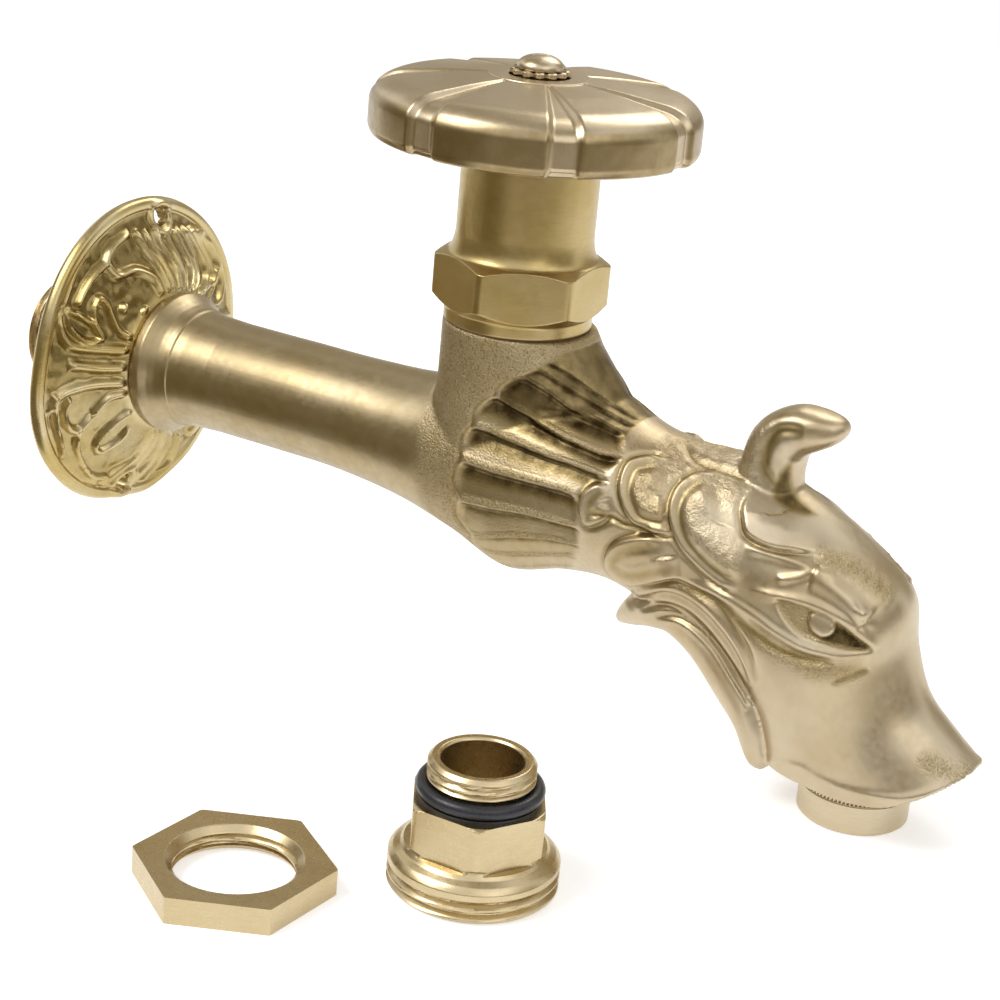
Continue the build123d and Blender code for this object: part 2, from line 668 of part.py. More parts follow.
def handwheel():
    """Dished handwheel with seven flutes that open from the hub over the rim."""
    shoulder_z = WHEEL_TOP_Z - WHEEL_SHOULDER_DROP
    side_top = WHEEL_RIM_Z + WHEEL_SIDE_H
    edge = 0.5
    rim_mid = (WHEEL_R - 1.9, (side_top + shoulder_z) / 2 + 1.25)
    outer = Polyline(
        (WHEEL_DISC_R, 0, WHEEL_TOP_Z),
        (0, 0, WHEEL_TOP_Z),
        (0, 0, WHEEL_RIM_Z),
        (WHEEL_R - edge, 0, WHEEL_RIM_Z),
        (WHEEL_R, 0, WHEEL_RIM_Z + edge),
        (WHEEL_R, 0, side_top),
    )
    shoulder = ThreePointArc(
        (WHEEL_R, 0, side_top),
        (rim_mid[0], 0, rim_mid[1]),
        (WHEEL_SHOULDER_R, 0, shoulder_z),
    )
    slope = Polyline(
        (WHEEL_SHOULDER_R, 0, shoulder_z),
        (WHEEL_DISC_R, 0, WHEEL_TOP_Z - WHEEL_DISC_RISE),
        (WHEEL_DISC_R, 0, WHEEL_TOP_Z),
    )
    wheel = revolve(make_face(outer + shoulder + slope), Axis.Z)
    inside_r = WHEEL_R - WHEEL_WALL
    roof_z = shoulder_z - WHEEL_WALL
    wheel -= turned([
        (WHEEL_HUB_R, WHEEL_RIM_Z - OVER),
        (inside_r, WHEEL_RIM_Z - OVER),
        (inside_r, side_top - 0.6),
        (inside_r - 3.0, roof_z),
        (WHEEL_HUB_R, roof_z + 0.6),
    ])
    wheel -= upright(WHEEL_HUB_R + OVER / 4, WHEEL_RIM_Z - OVER, WHEEL_HUB_Z)
    for flute in range(FLUTES):
        turn = FLUTE_START_DEG + flute * 360 / FLUTES
        wheel -= Rot(0, 0, turn) * flute_tool(shoulder_z)
    hole = WHEEL_SQUARE + 0.1
    wheel -= Pos(0, 0, WHEEL_TOP_Z) * Box(hole, hole, WHEEL_SIDE_H * 4) & upright(
        SPINDLE_STEM_R, WHEEL_HUB_Z - OVER, WHEEL_TOP_Z + OVER)
    return Pos(BONNET_X, 0, 0) * wheel


def flute_tool(shoulder_z):
    """Cutter of one flute: a taper from the hub, then a round bend down over the rim."""
    out = FLUTE_R - FLUTE_DEPTH
    hub_end = Vector(WHEEL_DISC_R + 0.8, 0, WHEEL_TOP_Z - WHEEL_DISC_RISE + FLUTE_HUB_R * 0.7)
    shoulder = Vector(WHEEL_SHOULDER_R + 1.4, 0, shoulder_z + out - 0.4)
    corner = Vector(WHEEL_R + out, 0, shoulder_z + out - 3.4)
    foot = Vector(WHEEL_R + out, 0, WHEEL_RIM_Z - OVER)
    run = shoulder - hub_end
    groove = Plane(origin=hub_end + run / 2, z_dir=run) * Cone(FLUTE_HUB_R, FLUTE_R, run.length)
    path = FilletPolyline(shoulder, corner, foot, radius=FLUTE_R)
    bend = sweep(Plane(origin=shoulder, z_dir=path % 0) * Circle(FLUTE_R), path)
    return groove + Pos(shoulder) * Sphere(FLUTE_R) + bend


def serrated_washer():
    """Toothed washer under the screw head."""
    washer = ring(SERRATED_R, SCREW_R + 0.15, WHEEL_TOP_Z, serrated_top_z)
    side = SERRATED_R * sin(pi / SERRATED_TEETH)
    notch = Pos(SERRATED_R, 0, WHEEL_TOP_Z) * Rot(0, 0, 45) * Box(side, side, SERRATED_T * 3)
    for tooth in range(SERRATED_TEETH):
        washer -= Rot(0, 0, tooth * 360 / SERRATED_TEETH) * notch
    return Pos(BONNET_X, 0, 0) * washer


def handwheel_screw():
    """Domed screw with a slot that holds the handwheel on the spindle."""
    head_r = SCREW_HEAD_R
    dome_r = (head_r**2 + SCREW_HEAD_H**2) / (2 * SCREW_HEAD_H)
    dome = Pos(BONNET_X, 0, serrated_top_z + SCREW_HEAD_H - dome_r) * Sphere(dome_r)
    head = dome & upright(head_r, serrated_top_z, serrated_top_z + SCREW_HEAD_H, BONNET_X)
    slot = Pos(BONNET_X, 0, serrated_top_z + SCREW_HEAD_H) * Box(head_r * 3, 0.9, 1.8)
    shank = upright(SCREW_R, serrated_top_z - SCREW_LENGTH, serrated_top_z + 0.5, BONNET_X)
    return head - slot + shank


def outlet_nozzle():
    """Threaded outlet insert in the mouth."""
    thread_top = NOZZLE_BOTTOM_Z + NOZZLE_THREAD_LENGTH
    body = upright(NOZZLE_R, NOZZLE_BOTTOM_Z, nozzle_top_z, NOZZLE_X)
    body = chamfer(body.edges().group_by(Axis.Z)[0], 0.5)
    body -= upright(NOZZLE_BORE_R, NOZZLE_BOTTOM_Z - OVER, thread_top, NOZZLE_X)
    return body - upright(NOZZLE_PASSAGE_R, thread_top - OVER, nozzle_top_z + OVER, NOZZLE_X)


def nozzle_gasket():
    """Sealing ring between the nozzle and the casting."""
    low = nozzle_top_z + 0.02
    high = nozzle_top_z + NOZZLE_RING_T - 0.02
    return ring(NOZZLE_R - 0.4, NOZZLE_PASSAGE_R + 0.4, low, high, NOZZLE_X)


def lock_nut():
    """Thin hexagonal lock nut for the inlet thread, lying on its face."""
    nut = hexagon(LOCK_AF, 0, LOCK_T, LOCK_TURN)
    nut -= upright(LOCK_BORE_R, -OVER, LOCK_T + OVER)
    nut = chamfer(nut.edges().filter_by(GeomType.CIRCLE), LOCK_CHAMFER)
    return Pos(LOCK_X, LOCK_Y, floor_z) * nut


def hose_adapter():
    """Hose adapter: hose thread below, hexagon, and the thread that fits the nozzle."""
    flare_low = ADAPTER_HOSE_H
    flare_high = ADAPTER_HOSE_H + ADAPTER_FLARE_H
    corner_r = ADAPTER_HEX_AF / sqrt(3)
    lower = [
        (0, 0),
        (ADAPTER_HOSE_R - 0.7, 0),
        (ADAPTER_HOSE_R, 0.7),
        (ADAPTER_HOSE_R, flare_low),
        (corner_r + 0.6, flare_low + 0.7),
        (ADAPTER_HEX_AF / 2 + 0.6, flare_high),
        (0, flare_high),
    ]
    upper = [
        (0, ADAPTER_HEX_TOP - OVER),
        (ADAPTER_TOP_R - 0.7, ADAPTER_HEX_TOP - OVER),
        (ADAPTER_TOP_R - 0.7, ADAPTER_HEX_TOP + ADAPTER_WASHER_T + ADAPTER_RING_SECTION),
        (ADAPTER_TOP_R, ADAPTER_HEX_TOP + ADAPTER_WASHER_T + ADAPTER_RING_SECTION + 0.4),
        (ADAPTER_TOP_R, ADAPTER_H - 0.8),
        (ADAPTER_TOP_R - 0.8, ADAPTER_H),
        (0, ADAPTER_H),
    ]
    body = turned(lower) + turned(upper)
    body += hexagon(ADAPTER_HEX_AF, flare_low, ADAPTER_HEX_TOP, ADAPTER_HEX_TURN)
    body -= upright(ADAPTER_BORE_R, -OVER, ADAPTER_H + OVER)
    return Pos(ADAPTER_X, ADAPTER_Y, floor_z) * body


def adapter_washer():
    """Flat black washer on the hexagon under the sealing ring."""
    high = ADAPTER_HEX_TOP + ADAPTER_WASHER_T
    outer = ADAPTER_TOP_R + ADAPTER_WASHER_LIP
    washer = ring(outer, ADAPTER_TOP_R - ADAPTER_WASHER_GRIP, ADAPTER_HEX_TOP, high)
    return Pos(ADAPTER_X, ADAPTER_Y, floor_z) * washer


# The round section of the sealing ring has this many small facets
RING_SIDES = 8
RING_TURN = 180 / RING_SIDES


def adapter_oring():
    """Sealing ring that the adapter carries round the root of its upper thread."""
    radius = ADAPTER_RING_SECTION / 2
    middle = ADAPTER_TOP_R - 0.65 + radius
    height = ADAPTER_HEX_TOP + ADAPTER_WASHER_T + radius
    section = Plane.XZ * Pos(middle, height) * RegularPolygon(radius, RING_SIDES, rotation=RING_TURN)
    return Pos(ADAPTER_X, ADAPTER_Y, floor_z) * revolve(section, Axis.Z)


PIECES = {
    "tap_body": tap_body,
    "wall_rosette": wall_rosette,
    "bonnet": bonnet,
    "bonnet_gasket": bonnet_gasket,
    "packing_rings": packing_rings,
    "gland_ring": gland_ring,
    "gland_nut": gland_nut,
    "spindle": spindle,
    "jumper_valve": jumper_valve,
    "seat_washer": seat_washer,
    "washer_nut": washer_nut,
    "handwheel": handwheel,
    "serrated_washer": serrated_washer,
    "handwheel_screw": handwheel_screw,
    "outlet_nozzle": outlet_nozzle,
    "nozzle_gasket": nozzle_gasket,
    "lock_nut": lock_nut,
    "hose_adapter": hose_adapter,
    "adapter_washer": adapter_washer,
    "adapter_oring": adapter_oring,
}

os.makedirs("parts", exist_ok=True)
for node, make in PIECES.items():
    shape = make()
    if isinstance(shape, list):
        shape = Compound(shape)
    export_step(shape, os.path.join("parts", node + ".step"))
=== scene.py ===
"""Looks of the brass fountain tap, its handwheel, wall rosette, lock nut and hose adapter.

Every shape here is written in millimetres in the part's own frame, +X out of the wall and
+Z up along the spindle, and turned into metres when its mesh is made.
"""
import itertools
import json
import math

import bmesh
import bpy
import numpy as np
from mathutils import Matrix, Vector

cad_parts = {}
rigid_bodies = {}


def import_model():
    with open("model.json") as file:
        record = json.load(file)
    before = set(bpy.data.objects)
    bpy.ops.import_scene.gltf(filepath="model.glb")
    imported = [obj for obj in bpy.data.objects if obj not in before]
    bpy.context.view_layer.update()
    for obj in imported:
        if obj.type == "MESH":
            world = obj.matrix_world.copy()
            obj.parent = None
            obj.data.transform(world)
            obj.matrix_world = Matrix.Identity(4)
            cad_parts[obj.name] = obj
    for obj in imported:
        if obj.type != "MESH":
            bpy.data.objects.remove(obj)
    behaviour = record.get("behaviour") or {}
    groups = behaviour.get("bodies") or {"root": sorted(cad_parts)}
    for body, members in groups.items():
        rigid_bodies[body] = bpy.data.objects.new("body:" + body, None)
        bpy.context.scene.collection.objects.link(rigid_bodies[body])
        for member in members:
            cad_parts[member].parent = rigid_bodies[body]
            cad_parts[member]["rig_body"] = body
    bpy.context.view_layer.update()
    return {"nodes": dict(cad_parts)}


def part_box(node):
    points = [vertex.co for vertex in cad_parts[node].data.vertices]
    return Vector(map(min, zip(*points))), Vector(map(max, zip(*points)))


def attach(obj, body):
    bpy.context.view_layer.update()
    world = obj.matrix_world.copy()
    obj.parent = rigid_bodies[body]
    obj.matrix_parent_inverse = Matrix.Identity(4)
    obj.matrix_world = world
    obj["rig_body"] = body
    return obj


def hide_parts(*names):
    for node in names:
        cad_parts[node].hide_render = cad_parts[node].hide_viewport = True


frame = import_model()

MM = 0.001

# Camera of the photograph: place in millimetres, view and right directions, focal length
# for a sensor of 36 mm
CAMERA_PLACE = (273.954, -328.817, 134.026)
CAMERA_VIEW = (-0.46656, 0.81164, -0.35152)
CAMERA_RIGHT = (0.8474, 0.52406, 0.08528)
CAMERA_LENS = 82.8
CAMERA_SENSOR = 36.0

# Thread pitches: inlet, lock nut and hose thread, and nozzle and upper adapter thread
WIDE_PITCH = 1.814
FINE_PITCH = 1.337


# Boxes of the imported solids, and the axis and heights taken from them

def node_box(name):
    """Lowest and highest corner of a CAD node in millimetres."""
    low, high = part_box(name)
    return np.array(low) / MM, np.array(high) / MM


BONNET_LOW, BONNET_HIGH = node_box("bonnet")
NOZZLE_LOW, NOZZLE_HIGH = node_box("outlet_nozzle")
NUT_LOW, NUT_HIGH = node_box("lock_nut")
ADAPTER_LOW, ADAPTER_HIGH = node_box("hose_adapter")
SEAM_LOW, SEAM_HIGH = node_box("bonnet_gasket")
NECK_X = (BONNET_LOW[0] + BONNET_HIGH[0]) / 2
NECK = (NECK_X, 0, 0)
FLOOR_Z = NOZZLE_LOW[2]


# Lines, grids and meshes

def smooth_line(points, step=0.5, closed=False):
    """Even points along a smooth curve through given points."""
    points = np.array(points, float)
    if closed:
        padded = np.vstack([points[-1], points, points[:2]])
    else:
        padded = np.vstack([2 * points[0] - points[1], points, 2 * points[-1] - points[-2]])
    pieces = []
    for before, start, end, after in zip(padded, padded[1:], padded[2:], padded[3:]):
        count = max(2, int(np.linalg.norm(end[:2] - start[:2]) / step))
        t = (np.arange(count) / count)[:, None]
        pieces.append(0.5 * (
            2 * start
            + (end - before) * t
            + (2 * before - 5 * start + 4 * end - after) * t**2
            + (3 * start - before - 3 * end + after) * t**3))
    if not closed:
        pieces.append(points[-1:])
    return np.vstack(pieces)


def eased(points, radius=0.3, step=0.5, closed=False):
    """Corner points of a profile with each corner rounded and each long run divided."""
    points = [np.array(point, float) for point in points]
    count = len(points)
    rounded = []
    for index, corner in enumerate(points):
        if not closed and index in (0, count - 1):
            rounded.append(corner)
            continue
        back = points[index - 1] - corner
        ahead = points[(index + 1) % count] - corner
        back_length, ahead_length = np.linalg.norm(back), np.linalg.norm(ahead)
        reach = min(radius, 0.45 * back_length, 0.45 * ahead_length)
        start = corner + back / back_length * reach
        end = corner + ahead / ahead_length * reach
        for t in (0.0, 0.25, 0.5, 0.75, 1.0):
            rounded.append((1 - t) ** 2 * start + 2 * t * (1 - t) * corner + t * t * end)
    if closed:
        rounded.append(rounded[0])
    dense = [rounded[0]]
    for start, end in zip(rounded, rounded[1:]):
        parts = max(1, math.ceil(np.linalg.norm(end - start) / step))
        dense += [start + (end - start) * part / parts for part in range(1, parts + 1)]
    return np.array(dense[:-1] if closed else dense)


def grid_faces(rows, columns, wrap_rows):
    """Quads of a grid of vertices whose columns go all the way round."""
    row = np.arange(rows if wrap_rows else rows - 1)
    low, near = np.meshgrid(row, np.arange(columns), indexing="ij")
    high, far = (low + 1) % rows, (near + 1) % columns
    corners = [low * columns + near, low * columns + far,
               high * columns + far, high * columns + near]
    return np.stack(corners, axis=-1).reshape(-1, 4).tolist()


def placed(name, data):
    """Object made from its data and put in the scene."""
    piece = bpy.data.objects.new(name, data)
    bpy.context.scene.collection.objects.link(piece)
    return piece


def make_piece(name, vertices, faces, material=None, body=None, crease=40.0):
    """Closed mesh object in metres. A cutter or a raw form has no material and no body."""
    mesh = bpy.data.meshes.new(name)
    mesh.from_pydata((np.asarray(vertices) * MM).tolist(), [], faces)
    tidy = bmesh.new()
    tidy.from_mesh(mesh)
    bmesh.ops.remove_doubles(tidy, verts=tidy.verts, dist=1e-6)
    bmesh.ops.recalc_face_normals(tidy, faces=tidy.faces)
    tidy.to_mesh(mesh)
    tidy.free()
    mesh.shade_smooth()
    mesh.set_sharp_from_angle(angle=math.radians(crease))
    piece = placed(name, mesh)
    if material:
        mesh.materials.append(material)
    if body:
        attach(piece, body)
    return piece


def applied(piece):
    """The mesh of an object with its modifiers applied, and the object deleted."""
    bpy.context.view_layer.update()
    graph = bpy.context.evaluated_depsgraph_get()
    mesh = bpy.data.meshes.new_from_object(piece.evaluated_get(graph))
    bpy.data.objects.remove(piece)
    return mesh


def cut_away(piece, cutter):
    """Takes a closed cutter out of a piece and deletes the cutter."""
    change = piece.modifiers.new("cut", "BOOLEAN")
    change.operation = "DIFFERENCE"
    change.solver = "EXACT"
    change.object = cutter
    name, body = piece.name, piece.get("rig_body")
    materials = list(piece.data.materials)[:1]
    mesh = applied(piece)
    bpy.data.objects.remove(cutter)
    result = placed(name, mesh)
    if materials:
        mesh.materials.clear()
        mesh.materials.append(materials[0])
    if body:
        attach(result, body)
    return result


def vectors(elements, name="co"):
    """A vector of each vertex of a mesh, as an array."""
    flat = np.empty(len(elements) * 3)
    elements.foreach_get(name, flat)
    return flat.reshape(-1, 3)


def move_vertices(mesh, places):
    """Puts the vertices of a mesh at places in millimetres."""
    mesh.vertices.foreach_set("co", (places * MM).ravel())
    mesh.update()


def store(mesh, name, values):
    """Keeps one value per vertex under a name that the materials read."""
    mark = mesh.attributes.new(name, "FLOAT", "POINT")
    mark.data.foreach_set("value", np.asarray(values, np.float32))


def drawn_on(points, axis, level):
    """Where the camera's rays through points cross a plane square to an axis, and the rays."""
    camera = np.array(CAMERA_PLACE)
    ray = points - camera
    reach = (level - camera[axis]) / ray[:, axis]
    return camera + ray * reach[:, None], ray


def lumps(points, size, seed):
    """Smooth random lumps between -1 and 1, about one per size."""
    table = np.random.default_rng(seed).uniform(-1, 1, (32, 32, 32))
    place = points / size
    cell = np.floor(place).astype(int)
    share = place - cell
    share = share * share * (3 - 2 * share)
    total = np.zeros(len(points))
    for corner in itertools.product((0, 1), repeat=3):
        weight = np.prod(np.where(np.array(corner) == 1, share, 1 - share), axis=1)
        x, y, z = ((cell + corner) % 32).T
        total += weight * table[x, y, z]
    return total


def ramp(value, low, high):
    """Smooth step from 0 at low to 1 at high."""
    share = np.clip((value - low) / (high - low), 0, 1)
    return share * share * (3 - 2 * share)


def bell(distance, width):
    """Bell curve that is 1 at distance 0."""
    return np.exp(-(distance / width) ** 2)


# Turned pieces: a profile of (radius, height) carried round an axis, with rules that change
# the radius by height and angle

def turned(name, profile, material=None, body=None, columns=192, rules=(), centre=(0, 0, 0),
           level=False, bored=True, crease=40.0, start=0.0):
    """Piece turned about the upright axis, or about the inlet axis when level."""
    angle = start + np.arange(columns) * 2 * math.pi / columns
    radius = np.repeat(profile[:, :1], columns, axis=1)
    height = np.repeat(profile[:, 1:2], columns, axis=1)
    angles = np.repeat(angle[None], len(profile), axis=0)
    for rule in rules:
        radius, height = rule(radius, height, angles)
    across, along = radius * np.cos(angles), radius * np.sin(angles)
    stack = (height, across, along) if level else (across, along, height)
    vertices = np.stack(stack, axis=-1).reshape(-1, 3) + np.array(centre)
    faces = grid_faces(len(profile), columns, bored)
    return make_piece(name, vertices, faces, material, body, crease)


def thread(surface, low, high, pitch, depth, inside=False):
    """Rule that cuts a right-hand helix into the rows that lie on one radius."""
    def rule(radius, height, angle):
        on = (abs(radius - surface) < 0.02) & (height > low) & (height < high)
        phase = (height / pitch - angle / (2 * math.pi)) % 1
        valley = 1 - np.clip(1.6 * (1 - abs(2 * phase - 1)) - 0.3, 0, 1)
        fade = np.clip((height - low) / pitch * 2, 0, 1)
        fade *= np.clip((high - height) / pitch * 2, 0, 1)
        side = 1 if inside else -1
        return radius + side * on * valley * fade * depth, height
    return rule


def hexagonal(flats, turn, low, high, corner_loss):
    """Rule that cuts six flats, with the corners slightly softened."""
    def rule(radius, height, angle):
        around = (angle - math.radians(turn)) % (math.pi / 3) - math.pi / 6
        flat = flats / 2 / np.cos(around)
        limit = np.minimum(flat, flats / math.sqrt(3) - corner_loss)
        inside = (height >= low) & (height <= high)
        return np.where(inside, np.minimum(radius, limit), radius), height
    return rule


def ribbed(surface, low, high, count, depth):
    """Rule that cuts upright notches into the rows that lie on one radius."""
    def rule(radius, height, angle):
        on = (abs(radius - surface) < 0.02) & (height > low) & (height < high)
        wave = 0.5 - 0.5 * np.cos(angle * count)
        return radius - on * wave * depth, height
    return rule


# Materials

def fill(node, **values):
    """Sets a node's options, and sets or links its sockets, by their names."""
    for key, value in values.items():
        if hasattr(node, key):
            setattr(node, key, value)
        else:
            feed(node.inputs[key.replace("_", " ")], value)
    return node


def feed(socket, value):
    """Links another socket to this one, or sets its value."""
    if isinstance(value, bpy.types.NodeSocket):
        socket.id_data.links.new(value, socket)
    else:
        socket.default_value = value


def adder(tree):
    """Helper that adds nodes to a tree."""
    def add(kind, **values):
        return fill(tree.nodes.new(kind), **values)
    return add


def shader(name, build):
    """Material whose nodes are made by a function that gets the helper and the surface."""
    material = bpy.data.materials.new(name)
    material.use_nodes = True
    build(adder(material.node_tree), material.node_tree.nodes["Principled BSDF"])
    return material


def noise(add, place, size, detail=2.0, stretch=(1, 1, 1)):
    """Noise with features about size millimetres across."""
    mapping = add("ShaderNodeMapping", Vector=place, Scale=stretch)
    return add("ShaderNodeTexNoise", Vector=mapping.outputs["Vector"], Scale=1 / (size * MM),
               Detail=detail).outputs["Fac"]


def span(add, value, from_low, from_high, to_low, to_high):
    """Value carried from one range to another and held at its ends."""
    return add("ShaderNodeMapRange", Value=value, From_Min=from_low, From_Max=from_high,
               To_Min=to_low, To_Max=to_high).outputs["Result"]


def mixed(add, share, first, second):
    """Colour mixed from two colours or sockets."""
    node = add("ShaderNodeMix", data_type="RGBA")
    for place, value in ((0, share), (6, first), (7, second)):
        feed(node.inputs[place], value)
    return node.outputs[2]


def times(add, first, second, operation="MULTIPLY"):
    """Two values joined by one operation."""
    node = add("ShaderNodeMath", operation=operation)
    feed(node.inputs[0], first)
    feed(node.inputs[1], second)
    return node.outputs[0]


def bumped(add, layers):
    """Bump made of (height socket, depth in millimetres) layers."""
    normal = {}
    for height, depth in layers:
        bump = add("ShaderNodeBump", Height=height, Distance=depth * MM, **normal)
        normal = {"Normal": bump.outputs["Normal"]}
    return bump.outputs["Normal"]


def brass(name, clean, warm, dark, smooth, rough, brush=None, grain_depth=0.0, stain=None):
    """Brass with warm and clean patches, uneven gloss and, if asked, brush lines. With a second
    colour it has the sand grain and the darkening that the mesh marks with two attributes: the
    darkening, painted shade in creases, hollows and on shaded sides and a darker tone elsewhere,
    goes from clean over that colour to dark."""
    def build(add, surface):
        place = add("ShaderNodeTexCoord").outputs["Object"]
        patches = span(add, noise(add, place, 14.0, 3.0), 0.38, 0.62, 0.0, 1.0)
        colour = mixed(add, patches, (*clean, 1), (*warm, 1))
        roughness = span(add, noise(add, place, 1.1, 4.0), 0.3, 0.7, smooth, rough)
        layers = [(noise(add, place, 5.0, 2.0), 0.05)]
        if brush:
            lines = noise(add, place, 0.16, 2.0, brush)
            layers.append((lines, 0.006))
            colour = mixed(add, span(add, lines, 0.4, 0.75, 0.0, 0.22), colour, (*dark, 1))
        if stain:
            grain = add("ShaderNodeAttribute", attribute_name="grain").outputs["Fac"]
            dirt = add("ShaderNodeAttribute", attribute_name="dirt").outputs["Fac"]
            sand = noise(add, place, 0.38, 3.0)
            layers.append((times(add, sand, grain), grain_depth))
            pits = span(add, sand, 0.32, 0.62, 0.6, 0.0)
            blotches = span(add, noise(add, place, 2.2, 3.0), 0.3, 0.7, 0.8, 1.15)
            # Grain pits and the marked darkening (painted shade and darker tone) darken the colour
            darkening = times(add, times(add, dirt, blotches), times(add, pits, grain), "MAXIMUM")
            colour = mixed(add, span(add, darkening, 0.0, 0.5, 0.0, 1.0), colour, (*stain, 1))
            colour = mixed(add, span(add, darkening, 0.5, 1.0, 0.0, 1.0), colour, (*dark, 1))
            roughness = times(add, roughness, times(add, grain, 0.16), "ADD")
        fill(surface, Metallic=1.0, Base_Color=colour, Roughness=roughness,
             Normal=bumped(add, layers))
    return shader(name, build)


def plain(name, colour, other, rough, size, depth):
    """Rubber or fibre: two close colours, dull gloss and a fine grain."""
    def build(add, surface):
        grain = noise(add, add("ShaderNodeTexCoord").outputs["Object"], size, 3.0)
        fill(surface, Base_Color=mixed(add, grain, (*colour, 1), (*other, 1)),
             Roughness=span(add, grain, 0.3, 0.7, rough - 0.1, rough + 0.1),
             Normal=bumped(add, [(grain, depth)]))
    return shader(name, build)


# Looks: clean, warm and dark colour, smoothest and roughest gloss
ROUND_BRUSH = (0.06, 0.06, 1.0)
# The cast look's second colour carries painted shade in creases, hollows and on the tube, and a
# darker tone in rough bands
CAST = brass(
    "cast_brass_look", (0.58, 0.49, 0.35), (0.50, 0.40, 0.25), (0.05, 0.032, 0.012), 0.31, 0.41,
    grain_depth=0.24, stain=(0.33, 0.25, 0.115))
# The wheel look's second colour paints shade on the side of the rim
WHEEL = brass(
    "wheel_brass_look", (0.60, 0.50, 0.35), (0.52, 0.42, 0.27), (0.36, 0.27, 0.14), 0.28, 0.34,
    (0.5, 0.5, 0.06), stain=(0.30, 0.22, 0.10))
TURNED = brass(
    "turned_brass_look", (0.54, 0.42, 0.21), (0.48, 0.36, 0.15), (0.34, 0.24, 0.09), 0.28, 0.36,
    ROUND_BRUSH)
SPIGOT = brass(
    "spigot_brass_look", (0.62, 0.53, 0.38), (0.58, 0.48, 0.32), (0.40, 0.31, 0.16), 0.30, 0.38,
    ROUND_BRUSH)
# The polished look's second colour paints shade into the rosette's valleys
GOLD = brass(
    "polished_brass_look", (0.60, 0.50, 0.29), (0.50, 0.38, 0.15), (0.10, 0.065, 0.02), 0.25, 0.34,
    stain=(0.33, 0.25, 0.10))
HONEY = brass(
    "honey_brass_look", (0.61, 0.50, 0.31), (0.56, 0.45, 0.26), (0.42, 0.32, 0.16), 0.25, 0.33,
    ROUND_BRUSH)
RUBBER = plain("black_rubber_look", (0.012, 0.013, 0.018), (0.03, 0.03, 0.036), 0.35, 0.3, 0.01)
FIBRE = plain("fibre_look", (0.20, 0.12, 0.07), (0.30, 0.20, 0.12), 0.85, 0.25, 0.03)


# The casting: tube, neck, head, crest and beard

TUBE_R = 10.5
# Even darkening of the tube and collar: painted shade that stands in for their darker reflections
TUBE_SHADE = 0.28
# Side-view stations: ridge point, belly point and half width
STATIONS = [
    (24, TUBE_R, 24, -TUBE_R, TUBE_R), (36, TUBE_R, 36, -TUBE_R, TUBE_R),
    (46, TUBE_R, 46, -TUBE_R, TUBE_R), (56, 10.6, 56, -10.9, 10.6), (68, 11.2, 68, -12.4, 11.5),
    (80, 13.5, 79.5, -15.4, 13), (91, 18, 90, -19.2, 13.9), (103, 17.3, 101, -16.4, 14),
    (113, 12.9, 110, -15.4, 13.5), (122, 11.5, 117.5, -17.2, 13.1), (133, 11.2, 126.5, -19.1, 13.1),
    (144.8, 7.2, 132.3, -23, 13.5), (154.8, 1.8, 136.8, -27.8, 13.7), (161.9, -4, 139.9, -33, 13.2),
    (163.9, -12.3, 141.2, -38, 12.4), (167.2, -20, 142.8, -44, 12), (172.9, -25.3, 145.2, -50, 12),
    (181.4, -32, 148.4, -57, 12),
]
# Line of the lips in side view
LIPS = [(136, -39.5), (144.4, -36.8), (163.5, -36.7), (171, -33.9), (177.6, -29.3)]
# Block taken away below the lips: its other corners and half width
CUT_CORNERS = [(190, -20), (205, -20), (205, -75), (125, -75), (125, -39.5)]
CUT_DEPTH = 30.0
# Hollow of the mouth: middle, half length, half width and half height
MOUTH_X, MOUTH_Z, MOUTH_LONG, MOUTH_WIDE, MOUTH_HIGH = 168.6, -36.5, 7.2, 8.2, 7.4
NECK_R = 12.8
FORM_EDGE = 0.2
# Flare: how far it reaches in front of the neck by height, and the radius that stays round
FLARE = [(8, 0), (12, 7), (14.2, 10.5), (16.5, 8.6), (19.3, 5.6), (21.7, 3.3), (24.5, 1.4),
         (28, 0.5)]
FLARE_CORE_R = 5.0
# Chamber under the bonnet
CHAMBER_R, CHAMBER_FLOOR_Z, SKIRT_BORE_R, CHAMBER_TOP_Z = 9.2, 7.4, 10.6, 40.0
# Crest: centre line in side view, half thickness and half width
CREST = [
    (135.8, 6, 5, 5.6), (135.5, 11, 5, 5.4), (136.4, 15.6, 4.9, 5.2), (139.2, 18.3, 4.3, 4.9),
    (142.2, 19.3, 3.5, 4.5), (144.6, 19.9, 2.7, 3.8), (146.3, 20.5, 1.8, 2.7),
    (147.3, 20.9, 0.8, 1.4),
]
# Beard lobe under the throat: centre line, half height and half width
GILL = [
    (143.9, -38.2, 1, 8), (143.4, -36.9, 2.6, 9.8), (142.6, -34.6, 3.4, 10.6),
    (140.9, -30.2, 4.1, 11), (138, -26, 5, 11), (131, -19, 5.2, 10.6), (124.5, -16.2, 4.9, 9.6),
    (119, -17.2, 4, 8.4), (115.4, -19.2, 2.9, 7.2), (112.9, -21, 1.6, 5.2), (111.6, -21.6, 0.6, 3),
]
# Cell size of the skin over all of them
VOXEL = 0.35


def oval_rings(rings, around=72, power=2.0):
    """Vertices and faces of a closed form through (centre, half axis, half width) rings."""
    angle = np.arange(around) * 2 * math.pi / around
    share = np.abs(np.cos(angle)) ** (2 / power) * np.sign(np.cos(angle))
    out = np.abs(np.sin(angle)) ** (2 / power) * np.sign(np.sin(angle))
    vertices = []
    for (x, z), (half_x, half_z), width in rings:
        vertices.append(np.stack([x + half_x * share, width * out, z + half_z * share], axis=-1))
    first, last = [np.repeat([[x, 0.0, z]], around, axis=0)
                   for (x, z), _, _ in (rings[0], rings[-1])]
    return np.vstack([first, *vertices, last]), grid_faces(len(rings) + 2, around, False)


def station_rings():
    """Rings of the casting between its stations."""
    return [
        (((ridge_x + belly_x) / 2, (ridge_z + belly_z) / 2),
         ((ridge_x - belly_x) / 2, (ridge_z - belly_z) / 2), width)
        for ridge_x, ridge_z, belly_x, belly_z, width in smooth_line(STATIONS, step=1.2)
    ]


